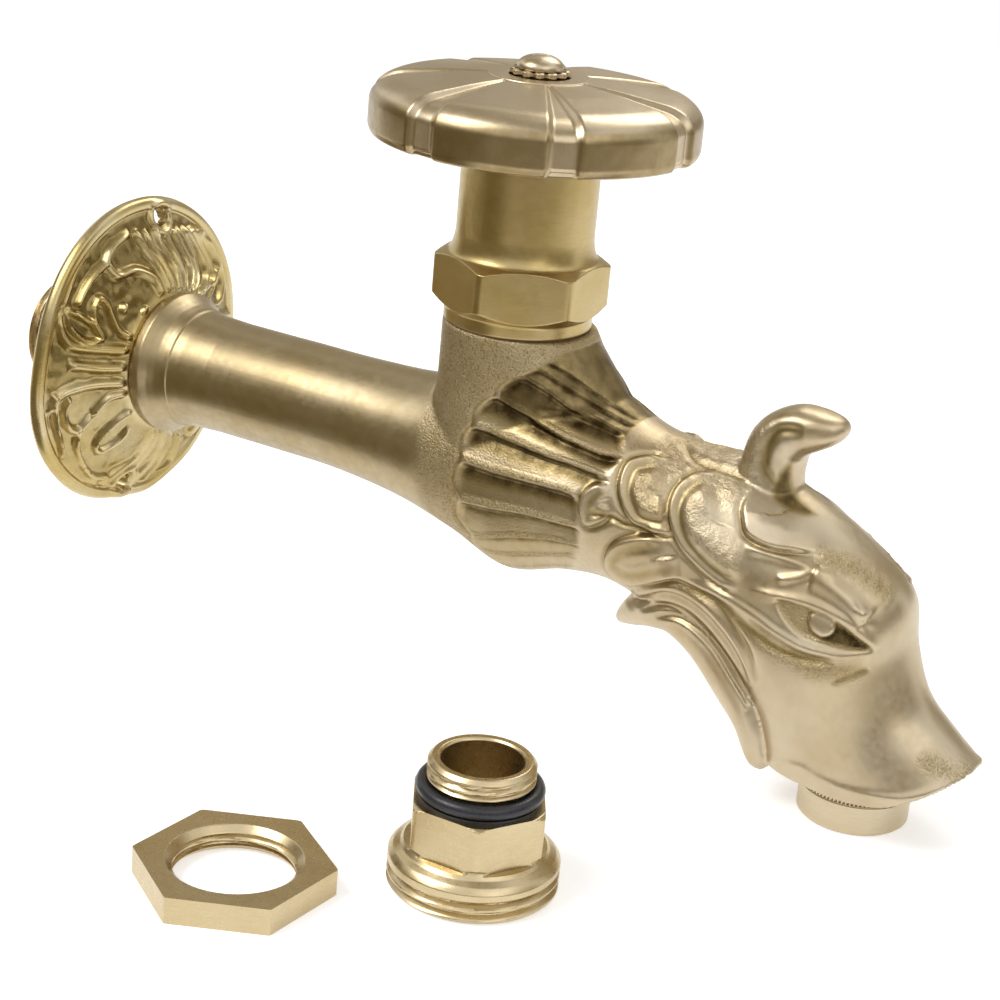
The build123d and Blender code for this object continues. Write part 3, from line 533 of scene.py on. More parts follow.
def swept_rings(points):
    """Rings square to a centre line given with its half thickness and half width."""
    line = smooth_line(points, step=0.7)
    run = np.gradient(line[:, :2], axis=0)
    run /= np.linalg.norm(run, axis=1)[:, None]
    return [
        ((x, z), (-along_z * thick, along_x * thick), width)
        for (x, z, thick, width), (along_x, along_z) in zip(line, run)
    ]


def neck_flare(radius, height, angle):
    """Rule that sweeps the front of the neck down into the ridge of the shell."""
    reach = np.interp(height, *zip(*FLARE))
    front = np.clip(np.cos(angle), 0, 1) ** (1 + 0.25 * reach)
    return radius + (radius > FLARE_CORE_R) * reach * front, height


def neck_form(name, profile, radius, step, columns=128, rules=()):
    """Solid form turned about the axis of the neck, with rounded corners."""
    profile = eased(profile, radius, step)
    return turned(name, profile, columns=columns, rules=rules, centre=NECK, bored=False)


def valve_chamber():
    """Cutter for the chamber under the bonnet, where the spindle and the valve rise."""
    step = BONNET_LOW[2] - 0.2
    chamber = [(0.0, CHAMBER_FLOOR_Z), (CHAMBER_R, CHAMBER_FLOOR_Z), (CHAMBER_R, step),
               (SKIRT_BORE_R, step), (SKIRT_BORE_R, CHAMBER_TOP_Z), (0.0, CHAMBER_TOP_Z)]
    return turned("chamber", np.array(chamber), columns=64, centre=NECK, bored=False)


def lip_cutter():
    """Upright slab whose upper edge is the line of the lips."""
    outline = np.vstack([smooth_line(LIPS, step=0.8), CUT_CORNERS])
    count = len(outline)
    near = np.stack([outline[:, 0], np.full(count, -CUT_DEPTH), outline[:, 1]], axis=-1)
    sides = [[place, count + place, count + (place + 1) % count, (place + 1) % count]
             for place in range(count)]
    ends = [list(range(count)), list(range(2 * count - 1, count - 1, -1))]
    return make_piece("cutter", np.vstack([near, near * (1, -1, 1)]), ends + sides)


def mouth_cutter():
    """Ball that hollows the mouth."""
    rings = [((MOUTH_X + MOUTH_LONG * math.sin(a), MOUTH_Z), (0.0, MOUTH_HIGH * math.cos(a)),
              MOUTH_WIDE * math.cos(a)) for a in np.linspace(-1.5, 1.5, 21)]
    return make_piece("cutter", *oval_rings(rings, around=40))


def casting_mesh():
    """One skin over the tube, neck, shell, head, crest and beard."""
    form = make_piece("casting_form", *oval_rings(station_rings()))
    form = cut_away(cut_away(form, lip_cutter()), mouth_cutter())
    seam = SEAM_LOW[2]
    forms = [
        form,
        neck_form("neck_form", [(0.0, -6.0), (NECK_R, -6.0), (NECK_R, seam), (0.0, seam)],
                  FORM_EDGE, 2.0),
        neck_form("flare_form", [(0.0, 8.0), (NECK_R - FORM_EDGE, 8.0),
                                 (NECK_R - FORM_EDGE, seam), (0.0, seam)],
                  FORM_EDGE, 0.6, rules=[neck_flare]),
        neck_form("foot_form", [(0.0, 6.0), (NECK_R + 0.1, 6.0), (NECK_R + 0.4, 10.0),
                                (NECK_R, 14.5), (0.0, 14.5)], 1.0, 1.0, 96),
    ]
    forms = [cut_away(part, valve_chamber()) for part in forms]
    forms += [make_piece("crest_form", *oval_rings(swept_rings(CREST), 48, 2.6)),
              make_piece("gill_form", *oval_rings(swept_rings(GILL), 48, 2.4))]
    joined = bmesh.new()
    for part in forms:
        joined.from_mesh(part.data)
        bpy.data.objects.remove(part)
    mesh = bpy.data.meshes.new("casting_skin")
    joined.to_mesh(mesh)
    joined.free()
    skin = placed("casting_skin", mesh)
    change = skin.modifiers.new("skin", "REMESH")
    change.mode = "VOXEL"
    change.voxel_size = VOXEL * MM
    return applied(skin)


class Relief:
    """Raised and sunk lines on a surface, drawn on a flat plane that the camera's rays cross."""

    def __init__(self, places):
        self.places = places
        # Darkening marks hold painted shade in creases, folds and hollows, and a darker tone in
        # rough bands
        self.height, self.dirt, self.grain, self.rough = np.zeros((4, len(places)))

    def near(self, line, reach):
        """Indexes of the vertices that lie near a line."""
        low, high = line.min(0) - reach, line.max(0) + reach
        return np.flatnonzero(((self.places > low) & (self.places < high)).all(1))

    def measure(self, which, line):
        """Distance to a line, share of its length at the nearest point, and 1 where the place
        is on the line's left, -1 where it is on its right."""
        best = np.full(len(which), np.inf)
        share, side = np.zeros(len(which)), np.ones(len(which))
        places = self.places[which]
        count = len(line) - 1
        for index, (start, end) in enumerate(zip(line, line[1:])):
            run = end - start
            away = places - start
            t = np.clip(away @ run / max(run @ run, 1e-9), 0, 1)
            distance = np.linalg.norm(away - t[:, None] * run, axis=1)
            closer = distance < best
            best = np.where(closer, distance, best)
            share = np.where(closer, (index + t) / count, share)
            side = np.where(closer, np.sign(run[0] * away[:, 1] - run[1] * away[:, 0]), side)
        return best, share, side

    def mark(self, which, **marks):
        """Raises kept values of some vertices to new ones where these are higher."""
        for name, value in marks.items():
            kept = getattr(self, name)
            kept[which] = np.maximum(kept[which], value)

    def stroke(self, points, width, height, dirt=0.0, grain=0.0, taper=0.15, rough=0.0):
        """Raised line, or a sunk one where height is negative. Its darkening is painted shade in
        sunk lines and folds, and a darker tone in rough bands.
        """
        line = smooth_line(points)
        which = self.near(line, 3 * width)
        distance, share, _ = self.measure(which, line)
        ends = 1.0
        if taper:
            ends = np.sqrt(np.clip(share / taper, 0, 1) * np.clip((1 - share) / taper, 0, 1))
        shape = bell(distance, width) * ends
        self.height[which] += height * shape
        self.mark(which, dirt=dirt * shape, grain=grain * shape, rough=rough * shape)

    def step(self, points, rise, fade, hollow=0.0, dirt=0.5, rough=0.0, taper=0.12):
        """Scale whose edge runs along a line, with the scale on the line's left. It has a rim,
        a hollow behind the rim and a middle that slopes back to the ground over fade. The crease
        along its edge and the hollow are darkened with painted shade."""
        line = smooth_line(points)
        which = self.near(line, fade + 1)
        distance, share, side = self.measure(which, line)
        inside = distance * side
        ends = ramp(share, 0, taper) * ramp(1 - share, 0, taper)
        back = 1 - ramp(inside, 0.35 * fade, fade)
        cover = ramp(inside, -0.3, 0.3) * back * ends
        behind = bell(inside - 2.0, 0.95)
        crease = bell(inside + 0.4, 0.5) * ends
        middle = ramp(inside, 2.4, 3.6) * back * ends
        shape = rise * ramp(inside, -0.35, 0.55) * back - hollow * behind
        self.height[which] = self.height[which] * (1 - cover) + shape * ends
        self.height[which] -= CREASE_DEPTH * crease
        for kept in (self.dirt, self.grain, self.rough):
            kept[which] *= 1 - cover
        # Painted shade in the crease along the edge and in the hollow behind the rim
        shade = np.maximum(crease, 0.8 * behind * (hollow > 0) * ends)
        self.mark(which, dirt=dirt * shade, grain=0.7 * rough * middle, rough=rough * middle)

    def patch(self, points, dirt, grain, edge=1.5):
        """Patch inside a closed outline, darkened with painted shade and given grain."""
        outline = smooth_line(points, closed=True)
        which = self.near(outline, 0.5)
        inside = ramp(self.depth_inside(which, outline), 0, edge)
        self.mark(which, dirt=dirt * inside, grain=grain * inside)

    def depth_inside(self, which, outline):
        """Distance from a closed outline, positive inside it."""
        distance = self.measure(which, np.vstack([outline, outline[:1]]))[0]
        x, y = self.places[which].T
        crossings = np.zeros(len(which), int)
        for start, end in zip(outline, np.roll(outline, -1, axis=0)):
            spans = (start[1] > y) != (end[1] > y)
            slope = (end[0] - start[0]) / np.where(end[1] == start[1], 1e-9, end[1] - start[1])
            crossings += spans & (x < start[0] + (y - start[1]) * slope)
        return np.where(crossings % 2 == 1, distance, -distance)


# Relief of the flanks in side view, as (x, z) in millimetres on the plane y = -13

FLANK_Y = -13.0
# Depth of the crease along a scale's edge
CREASE_DEPTH = 0.4
# The shell: crest lines from top to bottom, and under each the flute's depth, how strongly its
# groove is darkened with painted shade and over what share of the way to the next crest
SHELL_RIDGES = [
    [(96.5, 24), (103.5, 22.5), (111.5, 19.5), (116, 18)],
    [(98, 21.7), (104, 19.9), (110.5, 18), (115, 16.8)],
    [(95.4, 19.8), (99, 18.9), (104.3, 16.8), (109.4, 16.2), (114.5, 15.1)],
    [(90, 15.2), (96.1, 13.5), (103.2, 11.5), (110.2, 10.5), (115, 11.2)],
    [(85.7, 9), (91.2, 8.8), (100.2, 7.6), (107.1, 7.3), (112.1, 6.7)],
    [(84.1, 2.5), (90.1, 2.1), (97.3, 2.2), (104.2, 2.4), (107, 1.9)],
    [(84.4, -4.9), (90.8, -4.5), (97.9, -3.8), (108.4, -3.6)],
    [(89, -10.8), (94.8, -8.8), (101.8, -7.2), (108.7, -6.5)],
    [(92.7, -12.7), (100.1, -10.6), (106.5, -8.9), (113.3, -8)],
    [(95.8, -14.2), (103.5, -11.7), (109.9, -10.1), (113.8, -9.3)],
    [(97.5, -16.2), (105, -13.4), (111, -11.6)],
]
SHELL_FLUTES = [
    (0.4, 0.75, 0.5), (0.45, 0.75, 0.5), (0.95, 0.85, 0.75), (1.2, 0.9, 0.8), (1.25, 0.85, 0.7),
    (1.3, 0.85, 0.6), (1.15, 0.85, 0.45), (0.9, 0.75, 0.5), (0.8, 0.7, 0.5), (0.7, 0.7, 0.5),
]
# Rear and front edge of the shell, and front edge of its olive part: height, place along +X
SHELL_REAR = [
    (-18, 97), (-15.5, 91.5), (-10.2, 86.2), (-7.8, 84.2), (-5.2, 83.6), (-1.9, 83.2), (1.7, 83.2),
    (5.3, 84), (8.1, 84.8), (12.2, 86.6), (14.9, 88.6), (18.6, 92.4), (21.6, 97), (25.5, 101.9),
    (28, 106.5),
]
SHELL_FRONT = [
    (-16, 106), (-12, 108), (-6.5, 108.7), (-3.6, 108), (2, 107), (6.7, 112), (11, 115),
    (15, 114.5), (18, 118), (24, 119),
]
OLIVE_FRONT = [(10.2, 113.1), (13.3, 113.9), (16.7, 116.3), (19.4, 119.4), (22, 122)]
# Scales: edge line with the scale on its left, rise, slope back, hollow, roughness
SCALES = [
    ([(112.9, 5.7), (109.8, 4.7), (107.7, 2.1), (107.9, -0.8), (109.4, -2.7), (112.1, -1.2),
      (114.2, 0.9)], 0.9, 6.5, 0.2, 0.3),
    ([(124, -0.2), (118.5, -2), (114.8, -4.2), (113.4, -7.2), (114.2, -9.2), (117.2, -10.6),
      (121.1, -9.9), (125.5, -7.8), (128, -7)], 0.95, 8, 0.25, 0.35),
    ([(123.4, 12.6), (119.1, 12.1), (115.5, 10.1), (114.4, 6.1), (115.4, 2.7), (118.3, -0.2),
      (123, -0.4), (126, 0.5)], 0.95, 9.5, 0.5, 1),
    ([(131.6, 12.6), (127.7, 11.3), (125, 8.6), (123.9, 5), (124.6, 1.6), (126.7, -1.5),
      (130.5, -4.1), (134.5, -5.9), (138, -6.8)], 0.95, 10.5, 0.5, 0.7),
]
# Folds, beard and head
LOBE_FOLD = [(122.2, 17.8), (125.4, 15.8), (127.6, 13.6), (132.5, 13.1), (136.9, 12.9)]
SCALE_FOLD = [(109.6, -0.4), (113.5, 0), (116.8, -0.6), (121.4, -0.1)]
JAW_CREASE = [
    (126, -8), (133.5, -9), (138.7, -11.4), (144.9, -13.9), (150.6, -14.2), (155.2, -13.3),
]
GILL_TOP = [
    (118.3, -13.7), (120.3, -10.8), (125.5, -8), (130.5, -8.2), (135.8, -11), (140.2, -15.1),
    (143.1, -20.4),
]
GILL_LINES = [
    [(120.1, -13.5), (124.8, -10.5), (129.3, -10.7), (134.1, -13.1), (138.7, -17), (142, -21.2)],
    [(121.2, -14.4), (125.5, -12.2), (129.5, -12.3), (133.8, -14.7), (138.2, -18.6),
     (142.1, -23.1)],
    [(123.8, -14.8), (127.7, -13.6), (131.3, -14.5), (135.1, -17), (139.1, -21.2), (142.5, -24.9)],
]
CHEEK = [
    (138.6, 12.4), (137.2, 10.2), (136.6, 8.2), (136.8, 6.5), (138.1, 3.6), (142.5, 2.7),
    (147.1, 3.4), (151.6, 4.4),
]
BROW_RIDGE = [(138, 1.4), (142.2, 1.7), (146.5, 1.5), (150.7, 1.2), (153.9, 1.2)]
BROW_FORK = [(144.2, -2.3), (147.3, -1), (150.3, 0.8)]
BROW = [(149.9, 0.1), (153.3, -0.8), (156.8, -2.5), (159.8, -4.4)]
BROW_END = [(158.6, -3.8), (159.4, -4.2), (160, -4.7)]
HAMMERED = [(149.9, 3.7), (155.4, 3.5), (160.2, 2.1), (164, 0.6)]
UPPER_LID = [(139.8, -5.4), (144.6, -5), (150.1, -4.5), (154.9, -5.2), (159.3, -6.8), (162.3, -8.8)]
LOWER_LID = [
    (126.4, -7.5), (133.3, -7.4), (139.9, -9), (145.4, -11.1), (150.3, -12.2), (155.9, -11.8),
    (161.6, -9.8),
]
UNDER_LID = [(140.8, -12.5), (146.8, -14.4), (152.7, -15.4), (160.7, -12.9)]
SNOUT_LINE = [(155.7, -16.8), (159, -14.3), (161.5, -12.2)]
EYE = [
    (144.6, -5.5), (149.8, -5.3), (155, -6.1), (158.9, -7.7), (161.9, -9.1), (157.5, -10.3),
    (152.9, -10.7), (149.1, -10.4), (146, -8.5),
]
EYE_BALL = (152.7, -7.3)
EYE_BALL_R = 2.4
# Base of the crest, darkened with painted shade
CREST_PATCH = [
    (144.6, 18.6), (144.9, 15.9), (146.3, 12.8), (150.2, 10.5), (147.4, 8.9), (143.7, 9.2),
    (141, 10.8), (141.2, 14.5), (142.9, 17.5),
]
CREST_HOLLOW = [(145.2, 23), (141.2, 22), (139.4, 19), (139.6, 15.5), (141.8, 12.8)]
LIP_PATCH = [(171.6, -24.3), (175.3, -24.9), (178.9, -25.1), (180.2, -22.3)]
LIP_EDGE = [
    (144.9, -33.7), (148.5, -33.2), (152.8, -32.7), (156.3, -33.6), (162, -33.9), (170.1, -32.2),
    (175.9, -28.5), (179.7, -24.5), (182.2, -21.2),
]


def carve_casting():
    """The casting with its shell, scales, head and beard carved into both flanks."""
    mesh = casting_mesh()
    pairs = np.empty(len(mesh.edges) * 2, int)
    mesh.edges.foreach_get("vertices", pairs)
    places = relaxed(vectors(mesh.vertices) / MM, pairs.reshape(-1, 2), 3)
    move_vertices(mesh, places)
    normals = vectors(mesh.vertices, "normal")

    # Both flanks are drawn as if they lay on the side that the camera sees
    side = np.stack([np.ones(len(places)), np.where(places[:, 1] > 0, -1.0, 1.0),
                     np.ones(len(places))], axis=-1)
    drawn, ray = drawn_on(places * side, 1, FLANK_Y)
    facing = -(normals * side * ray).sum(1) / np.linalg.norm(ray, axis=1)
    relief = Relief(drawn[:, [0, 2]])
    draw_flank(relief)

    x, y, z = places.T
    seen = ramp(facing, 0.02, 0.25) * ramp(abs(y), 0.5, 4.0)
    crinkle = lumps(places, 0.9, 3) * 0.6 + lumps(places, 0.45, 5) * 0.4
    behind_crest = ramp(x, 114, 119) * ramp(-x, -139, -131) * ramp(z, 3.0, 10.0)
    rough = np.clip(np.maximum(behind_crest, relief.rough * seen), 0, 2) * ramp(facing, 0.05, 0.4)
    waves = lumps(places, 7.0, 11) * 0.06 * ramp(x, 30, 45)
    move = relief.height * seen + rough * crinkle * 0.15 + waves
    keep = ramp(z, 18, 24) * (1 - ramp(x, 97, 101))
    places += normals * (move * (1 - keep))[:, None]
    move_vertices(mesh, places)

    across, up = relief.places.T
    rear = np.interp(up, *np.array(SHELL_REAR).T)
    olive_front = np.interp(up, *np.array(OLIVE_FRONT).T)
    neck_band = ramp(x, 72, 77) * ramp(rear - across, -0.6, 0.6) * (1 - ramp(x, 101, 106))
    olive = ramp(across - rear, -0.4, 0.8) * ramp(olive_front - across, -0.3, 0.3)
    olive *= ramp(up, 11.0, 15.0) * (x > 90)
    grain = np.clip(np.maximum(relief.grain, neck_band), 0, 1)
    grain = np.maximum(grain, 0.2 * ramp(x, 76, 84) * (1 - ramp(x, 112, 120)))
    grain = np.maximum(grain * (1 - 0.7 * olive), np.clip(rough, 0, 1) * 0.5)
    # Painted shade over the tube, fading out towards the neck
    tube_dirt = TUBE_SHADE * (1 - ramp(x, 84, 96))
    # Relief darkening (painted shade in creases and hollows, darker tone in rough bands), the rough
    # neck band and the tube's painted shade
    dirt = np.maximum(relief.dirt * seen, np.maximum(0.3 * neck_band, tube_dirt))
    # Darker olive tone over the upper shell
    olive_dirt = 0.68 + 0.35 * dirt + 0.08 * lumps(places, 3.0, 17)
    dirt = np.clip(dirt * (1 - olive) + olive * olive_dirt, 0, 0.95)
    store(mesh, "grain", grain)
    store(mesh, "dirt", dirt)
    mesh.shade_smooth()
    mesh.materials.clear()
    mesh.materials.append(CAST)
    casting = placed("casting", mesh)
    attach(casting, "body")
    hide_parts("tap_body")


def relaxed(places, pairs, rounds):
    """Vertices moved part of the way to the middle of their neighbours."""
    count = len(places)
    first, second = pairs.T
    links = np.bincount(first, minlength=count) + np.bincount(second, minlength=count)
    for _ in range(rounds):
        total = np.stack([
            np.bincount(first, column[second], count) + np.bincount(second, column[first], count)
            for column in places.T], axis=-1)
        places = places + 0.5 * (total / links[:, None] - places)
    return places


def draw_shell(relief):
    """Fan of flutes: each crest drops steeply into a groove, darkened with painted shade, that
    rises to the next crest.
    """
    x, z = relief.places.T
    crests = [np.interp(x, *np.array(line).T) for line in SHELL_RIDGES]
    rear, front = [np.interp(z, *np.array(edge).T) for edge in (SHELL_REAR, SHELL_FRONT)]
    for high, low, (depth, shade_strength, reach) in zip(crests, crests[1:], SHELL_FLUTES):
        share = (high - z) / (high - low)
        on = (share >= 0) & (share < 1)
        ends = rear + 0.9 * (2 * share - 1) ** 2 - 0.5
        fade = ramp(x - ends, -0.2, 1.8) * ramp(front - x, -0.5, 2.0)
        shape = ramp(share, 0.02, 0.24) * np.clip(1 - share, 0, 1) ** 0.9
        edge = bell(x - ends + 0.1, 0.45) * (depth > 0.8)
        relief.height -= on * (depth * shape * fade * 1.25 + 0.3 * edge)
        # Painted shade in each groove under its crest and along the flute's rear end
        dark = shade_strength * ramp(share, 0.03, 0.12) * fade
        dark *= 1 - ramp(share, 0.5 * reach, 1.2 * reach)
        dark = np.maximum(np.maximum(dark, 0.22 * fade), 0.55 * edge)
        crest = np.maximum(ramp(share, 0.8, 0.92), ramp(-share, -0.06, -0.02))
        relief.mark(slice(None), dirt=on * dark, grain=on * fade * (0.25 + 0.75 * crest))


def shifted(points, x, z):
    """A line moved within the side view."""
    return [(point_x + x, point_z + z) for point_x, point_z in points]


def draw_flank(relief):
    """Draws the shell, the scales, the beard and the head of one flank."""
    draw_shell(relief)
    for points, rise, fade, hollow, rough in SCALES:
        relief.step(points, rise, fade, hollow, rough=rough)
    # Darkening on sunk folds, creases, the crest's hollow and the snout line is painted shade; on
    # the hammered band and the lip patch it darkens the rough grain
    relief.stroke(SCALE_FOLD, 0.6, -0.5, dirt=0.75)
    relief.stroke(LOBE_FOLD, 0.7, -0.5, dirt=0.4)
    relief.stroke(shifted(LOBE_FOLD, 0.5, 1.5), 1.0, 0.35)
    relief.stroke(JAW_CREASE, 0.9, -0.65, dirt=0.6, grain=0.7)
    relief.stroke(UNDER_LID, 1.9, -0.1, dirt=0.3, grain=0.9, rough=0.4)
    relief.stroke(GILL_TOP, 0.65, -0.5, dirt=0.35)
    relief.stroke(shifted(GILL_TOP, -0.5, -1.2), 0.7, 0.4)
    for points in GILL_LINES:
        relief.stroke(points, 0.6, -0.35, dirt=0.2)
        relief.stroke(shifted(points, -0.3, -1.0), 0.6, 0.25)
    relief.step(CHEEK, 0.8, 8.0, dirt=0.45, taper=0.35)
    relief.patch(CREST_PATCH, dirt=0.75, grain=0.3)
    relief.stroke(CREST_HOLLOW, 1.0, -0.45, dirt=0.6)
    relief.stroke(HAMMERED, 1.7, 0.1, dirt=0.2, grain=0.9, rough=2.2)
    relief.stroke(BROW_RIDGE, 1.0, 0.45)
    relief.stroke(BROW_FORK, 0.75, 0.4)
    relief.stroke(BROW, 1.9, 0.95, taper=0.08)
    relief.stroke(BROW_END, 1.3, 0.5, taper=0)
    relief.stroke(UPPER_LID, 0.8, 0.35)
    relief.stroke(LOWER_LID, 0.85, 0.5)
    relief.stroke(shifted(LOWER_LID[2:6], 0, -1.3), 0.6, -0.35, dirt=0.45, grain=0.8)
    draw_eye(relief)
    relief.stroke(SNOUT_LINE, 0.4, -0.22, dirt=0.6)
    relief.stroke(LIP_PATCH, 1.9, 0.0, dirt=0.1, grain=0.8, rough=1.3)
    relief.stroke(LIP_EDGE, 0.7, 0.25)


def draw_eye(relief):
    """Almond hollow with a flat round eyeball, and painted shade in the hollow, darkest at its
    front corner and in a thin ring round the eyeball.
    """
    outline = smooth_line(EYE, closed=True)
    which = relief.near(outline, 2.0)
    hollow = ramp(relief.depth_inside(which, outline), -0.2, 0.7)
    away = np.linalg.norm(relief.places[which] - EYE_BALL, axis=1)
    ball = ramp(-away, -EYE_BALL_R - 0.15, -EYE_BALL_R + 0.35) * hollow
    dome = 0.6 + 0.35 * np.sqrt(np.clip(1 - (away / EYE_BALL_R) ** 2, 0, 1))
    relief.height[which] = relief.height[which] * (1 - hollow) - 0.8 * hollow
    relief.height[which] += ball * dome
    corner = ramp(relief.places[which, 0], 151.5, 155.0)
    ring = bell(away - EYE_BALL_R - 0.2, 0.25)
    relief.dirt[which] *= 1 - hollow
    # Painted shade in the hollow, darkest at its front corner, and in a ring round the eyeball
    dirty = hollow * (1 - ball) * (0.35 + 0.65 * corner) + 0.4 * ring * hollow
    relief.mark(which, dirt=dirty, grain=hollow * (1 - ball) * 0.9)


def inlet_stub():
    """Threaded inlet with its open bore, from the wall side to the back of the collar."""
    bore, radius = 7.0, 10.48
    profile = [(bore, -17.0), (radius - 1, -17.0), (radius, -16.0), (radius, 4.0), (10.0, 5.0),
               (10.0, 12.0), (bore, 12.0)]
    rules = [thread(radius, -16.2, 3.8, WIDE_PITCH, 0.9)]
    stub = turned("inlet_thread_stub", eased(profile, 0.25, 0.15, closed=True), HONEY, "body",
                  160, rules, level=True)


def collar():
    """Turned collar with a crisp rim that sweeps down to the tube."""
    inner = 9.0
    profile = [
        (inner, 11.0), (12.9, 11.0), (13.35, 11.4), (13.35, 13.0), (13.0, 13.5), (12.3, 14.4),
        (11.7, 15.6), (11.3, 16.9), (11.2, 17.9), (10.95, 18.1), (10.75, 20.0), (10.63, 23.0),
        (TUBE_R, 26.0), (TUBE_R - 0.2, 28.5), (inner, 28.5),
    ]
    piece = turned("collar_turned", eased(profile, 0.3, 0.25, closed=True), CAST, "body",
                   level=True)
    # Painted shade: the collar is darkened like the tube
    store(piece.data, "dirt", np.full(len(piece.data.vertices), TUBE_SHADE))


# Wall rosette: strokes in (y, z) millimetres as seen from the front, on the plane x = 4.5

ROSETTE_PLANE_X = 4.5
ROSETTE_R = 29.7
ROSETTE_HOLE_R = 10.6
ROSETTE_TURN = -9.5
# Face from the hole to the rim, and back from the rim to the hole: radius and height
ROSETTE_FACE = [
    (ROSETTE_HOLE_R, 10.9), (12.9, 10.9), (15.4, 9.2), (19.9, 6), (24.8, 3.6), (26.8, 2.8),
    (27.3, 2.5), (27.8, 2.9), (28.7, 2.9), (29.4, 2.4), (ROSETTE_R, 1.5),
]
ROSETTE_BACK = [
    (ROSETTE_R - 0.3, 0.8), (ROSETTE_R - 1.2, 0.0), (ROSETTE_R - 2.2, 0.0), (24.4, 2.0),
    (19.4, 4.4), (15.0, 7.6), (12.6, 9.4), (ROSETTE_HOLE_R, 9.6),
]
# Rim of the rosette: direction in degrees from +Y towards +Z, and radius
ROSETTE_RIM = [
    (0, 29.5), (30, 29.7), (60, 29.6), (90, 29.7), (115, 29.6), (135, 29), (150, 28.3), (165, 27.9),
    (178, 28.2), (190, 29.3), (205, 29.9), (225, 30), (248, 29.8), (262, 29.2), (272, 29.9),
    (281, 30.6), (291, 29.6), (302, 30.6), (314, 29.7), (326, 30.1), (340, 29.3),
]
SCREW_CIRCLE_R = 26.0
SCREW_HOLE_R = 1.7
SCREW_BOSS_R = 2.7
# Ribs: line and width
ROSETTE_RIBS = [
    ([(-3.8, 1.2), (-13.7, 3.6), (-22, 6.2), (-25, 10), (-25.1, 12.8)], 1),
    ([(-4.3, -2), (-12.9, -0.3), (-22.5, 2.4)], 1),
    ([(-4.1, -5.2), (-14, -3.2), (-20, -2.6), (-24.7, -3), (-28.1, -5.5)], 1),
    ([(-4, -7), (-10.9, -6.6), (-15.6, -8.9)], 0.8),
    ([(-3.2, 3), (-8.3, 5.8), (-10.9, 9.6), (-12.2, 11.9), (-14.6, 13.6), (-16, 11.8), (-15, 8),
      (-12.5, 5)], 0.8),
    ([(-24, 13.4), (-20.4, 11.5), (-15.6, 8.5), (-13.7, 5.7), (-17.9, 6.1), (-22.1, 9.4),
      (-24, 13.4)], 0.6),
    ([(-18.2, 23), (-21.3, 19.6), (-24.5, 13.9)], 0.9),
    ([(-12.5, 20), (-15.4, 18.6), (-18.3, 16.3), (-20.5, 13.1)], 0.9),
    ([(4.7, 9.4), (1.3, 14.2), (-4.5, 17), (-9.4, 17), (-12.5, 20.4), (-10.8, 22.9),
      (-6.1, 24.7)], 0.9),
    ([(6.9, 9.4), (3.1, 15.6), (-1.6, 20.5), (-4.8, 24.7)], 0.9),
    ([(9.2, 9.4), (7.6, 15.2), (2.8, 20.6), (0.8, 24.2)], 0.9),
    ([(11.8, 9.1), (12.2, 14.3), (8.6, 19.6), (5.8, 23.4)], 0.9),
    ([(15.2, 7.8), (16.9, 12.6), (13.3, 18.4), (9.1, 23.2)], 0.9),
    ([(20.8, 5), (21.8, 10), (18.7, 16.6), (12.4, 21.9)], 1),
    ([(-31, 0.9), (-29.8, -5.9), (-27.3, -13.9), (-21.3, -20.5), (-13.3, -23.5)], 0.9),
    ([(-26.4, -2.2), (-25.7, -8.1), (-23.8, -14.4), (-25.5, -16.8)], 0.7),
    ([(-3.2, -10.6), (-9.4, -12.1), (-14.2, -14.7), (-13.5, -16.6), (-8, -15.8),
      (-4.4, -13.7)], 0.7),
    ([(-15.6, -8.9), (-19.1, -11.3), (-19.6, -15), (-15.8, -20.7), (-10.9, -22.4)], 0.8),
    ([(-21.7, -4.1), (-23.4, -6.6), (-22.1, -9.8), (-19.1, -11.3)], 0.8),
    ([(2.8, -16.4), (-1.5, -20.1), (-7.8, -21.9), (-13.3, -23.5)], 0.9),
    ([(6.1, -17.6), (3.1, -21.7), (-2.6, -24.6), (-8.8, -26.9)], 0.9),
    ([(10.2, -19.1), (7.8, -23.8), (2.7, -26.9)], 0.9),
]
# Beads: across, up and radius
ROSETTE_BEADS = [
    (-7.3, 10.3, 1.3), (-1, 8.4, 1.2), (-18.5, 24.3, 1), (-28.7, 7.8, 1), (1.4, 29.2, 1),
]
# Pairs of ribs with a finer one between them
FINE_RIBS = ((9, 10), (10, 11), (11, 12), (12, 13), (19, 20), (20, 21))
FAN_RIBS = (9, 10, 11, 12, 13, 19, 20, 21)
# Ribs that the tube hides in the photograph repeat the shown ones half a turn further round
HIDDEN_RIBS = (0, 1, 2, 4, 6, 7, 17)
RIB_RISE = 1.1
RIB_SHARE, FAN_SHARE = 0.8, 0.62


def rosette_rim(angle):
    """Radius of the rosette's edge in each direction, evened out over 25 neighbours."""
    rim = np.interp(np.degrees(angle), *np.array(ROSETTE_RIM, float).T, period=360)
    return np.convolve(np.concatenate([rim[-12:], rim, rim[:12]]), np.ones(25) / 25, "same")[12:-12]


def halfway(first, second):
    """Line of five points between two lines."""
    first, second = [
        np.array([np.interp(np.linspace(0, len(line) - 1, 5), range(len(line)), column)
                  for column in np.array(line).T]) for line in (first, second)]
    return ((first + second) / 2).T


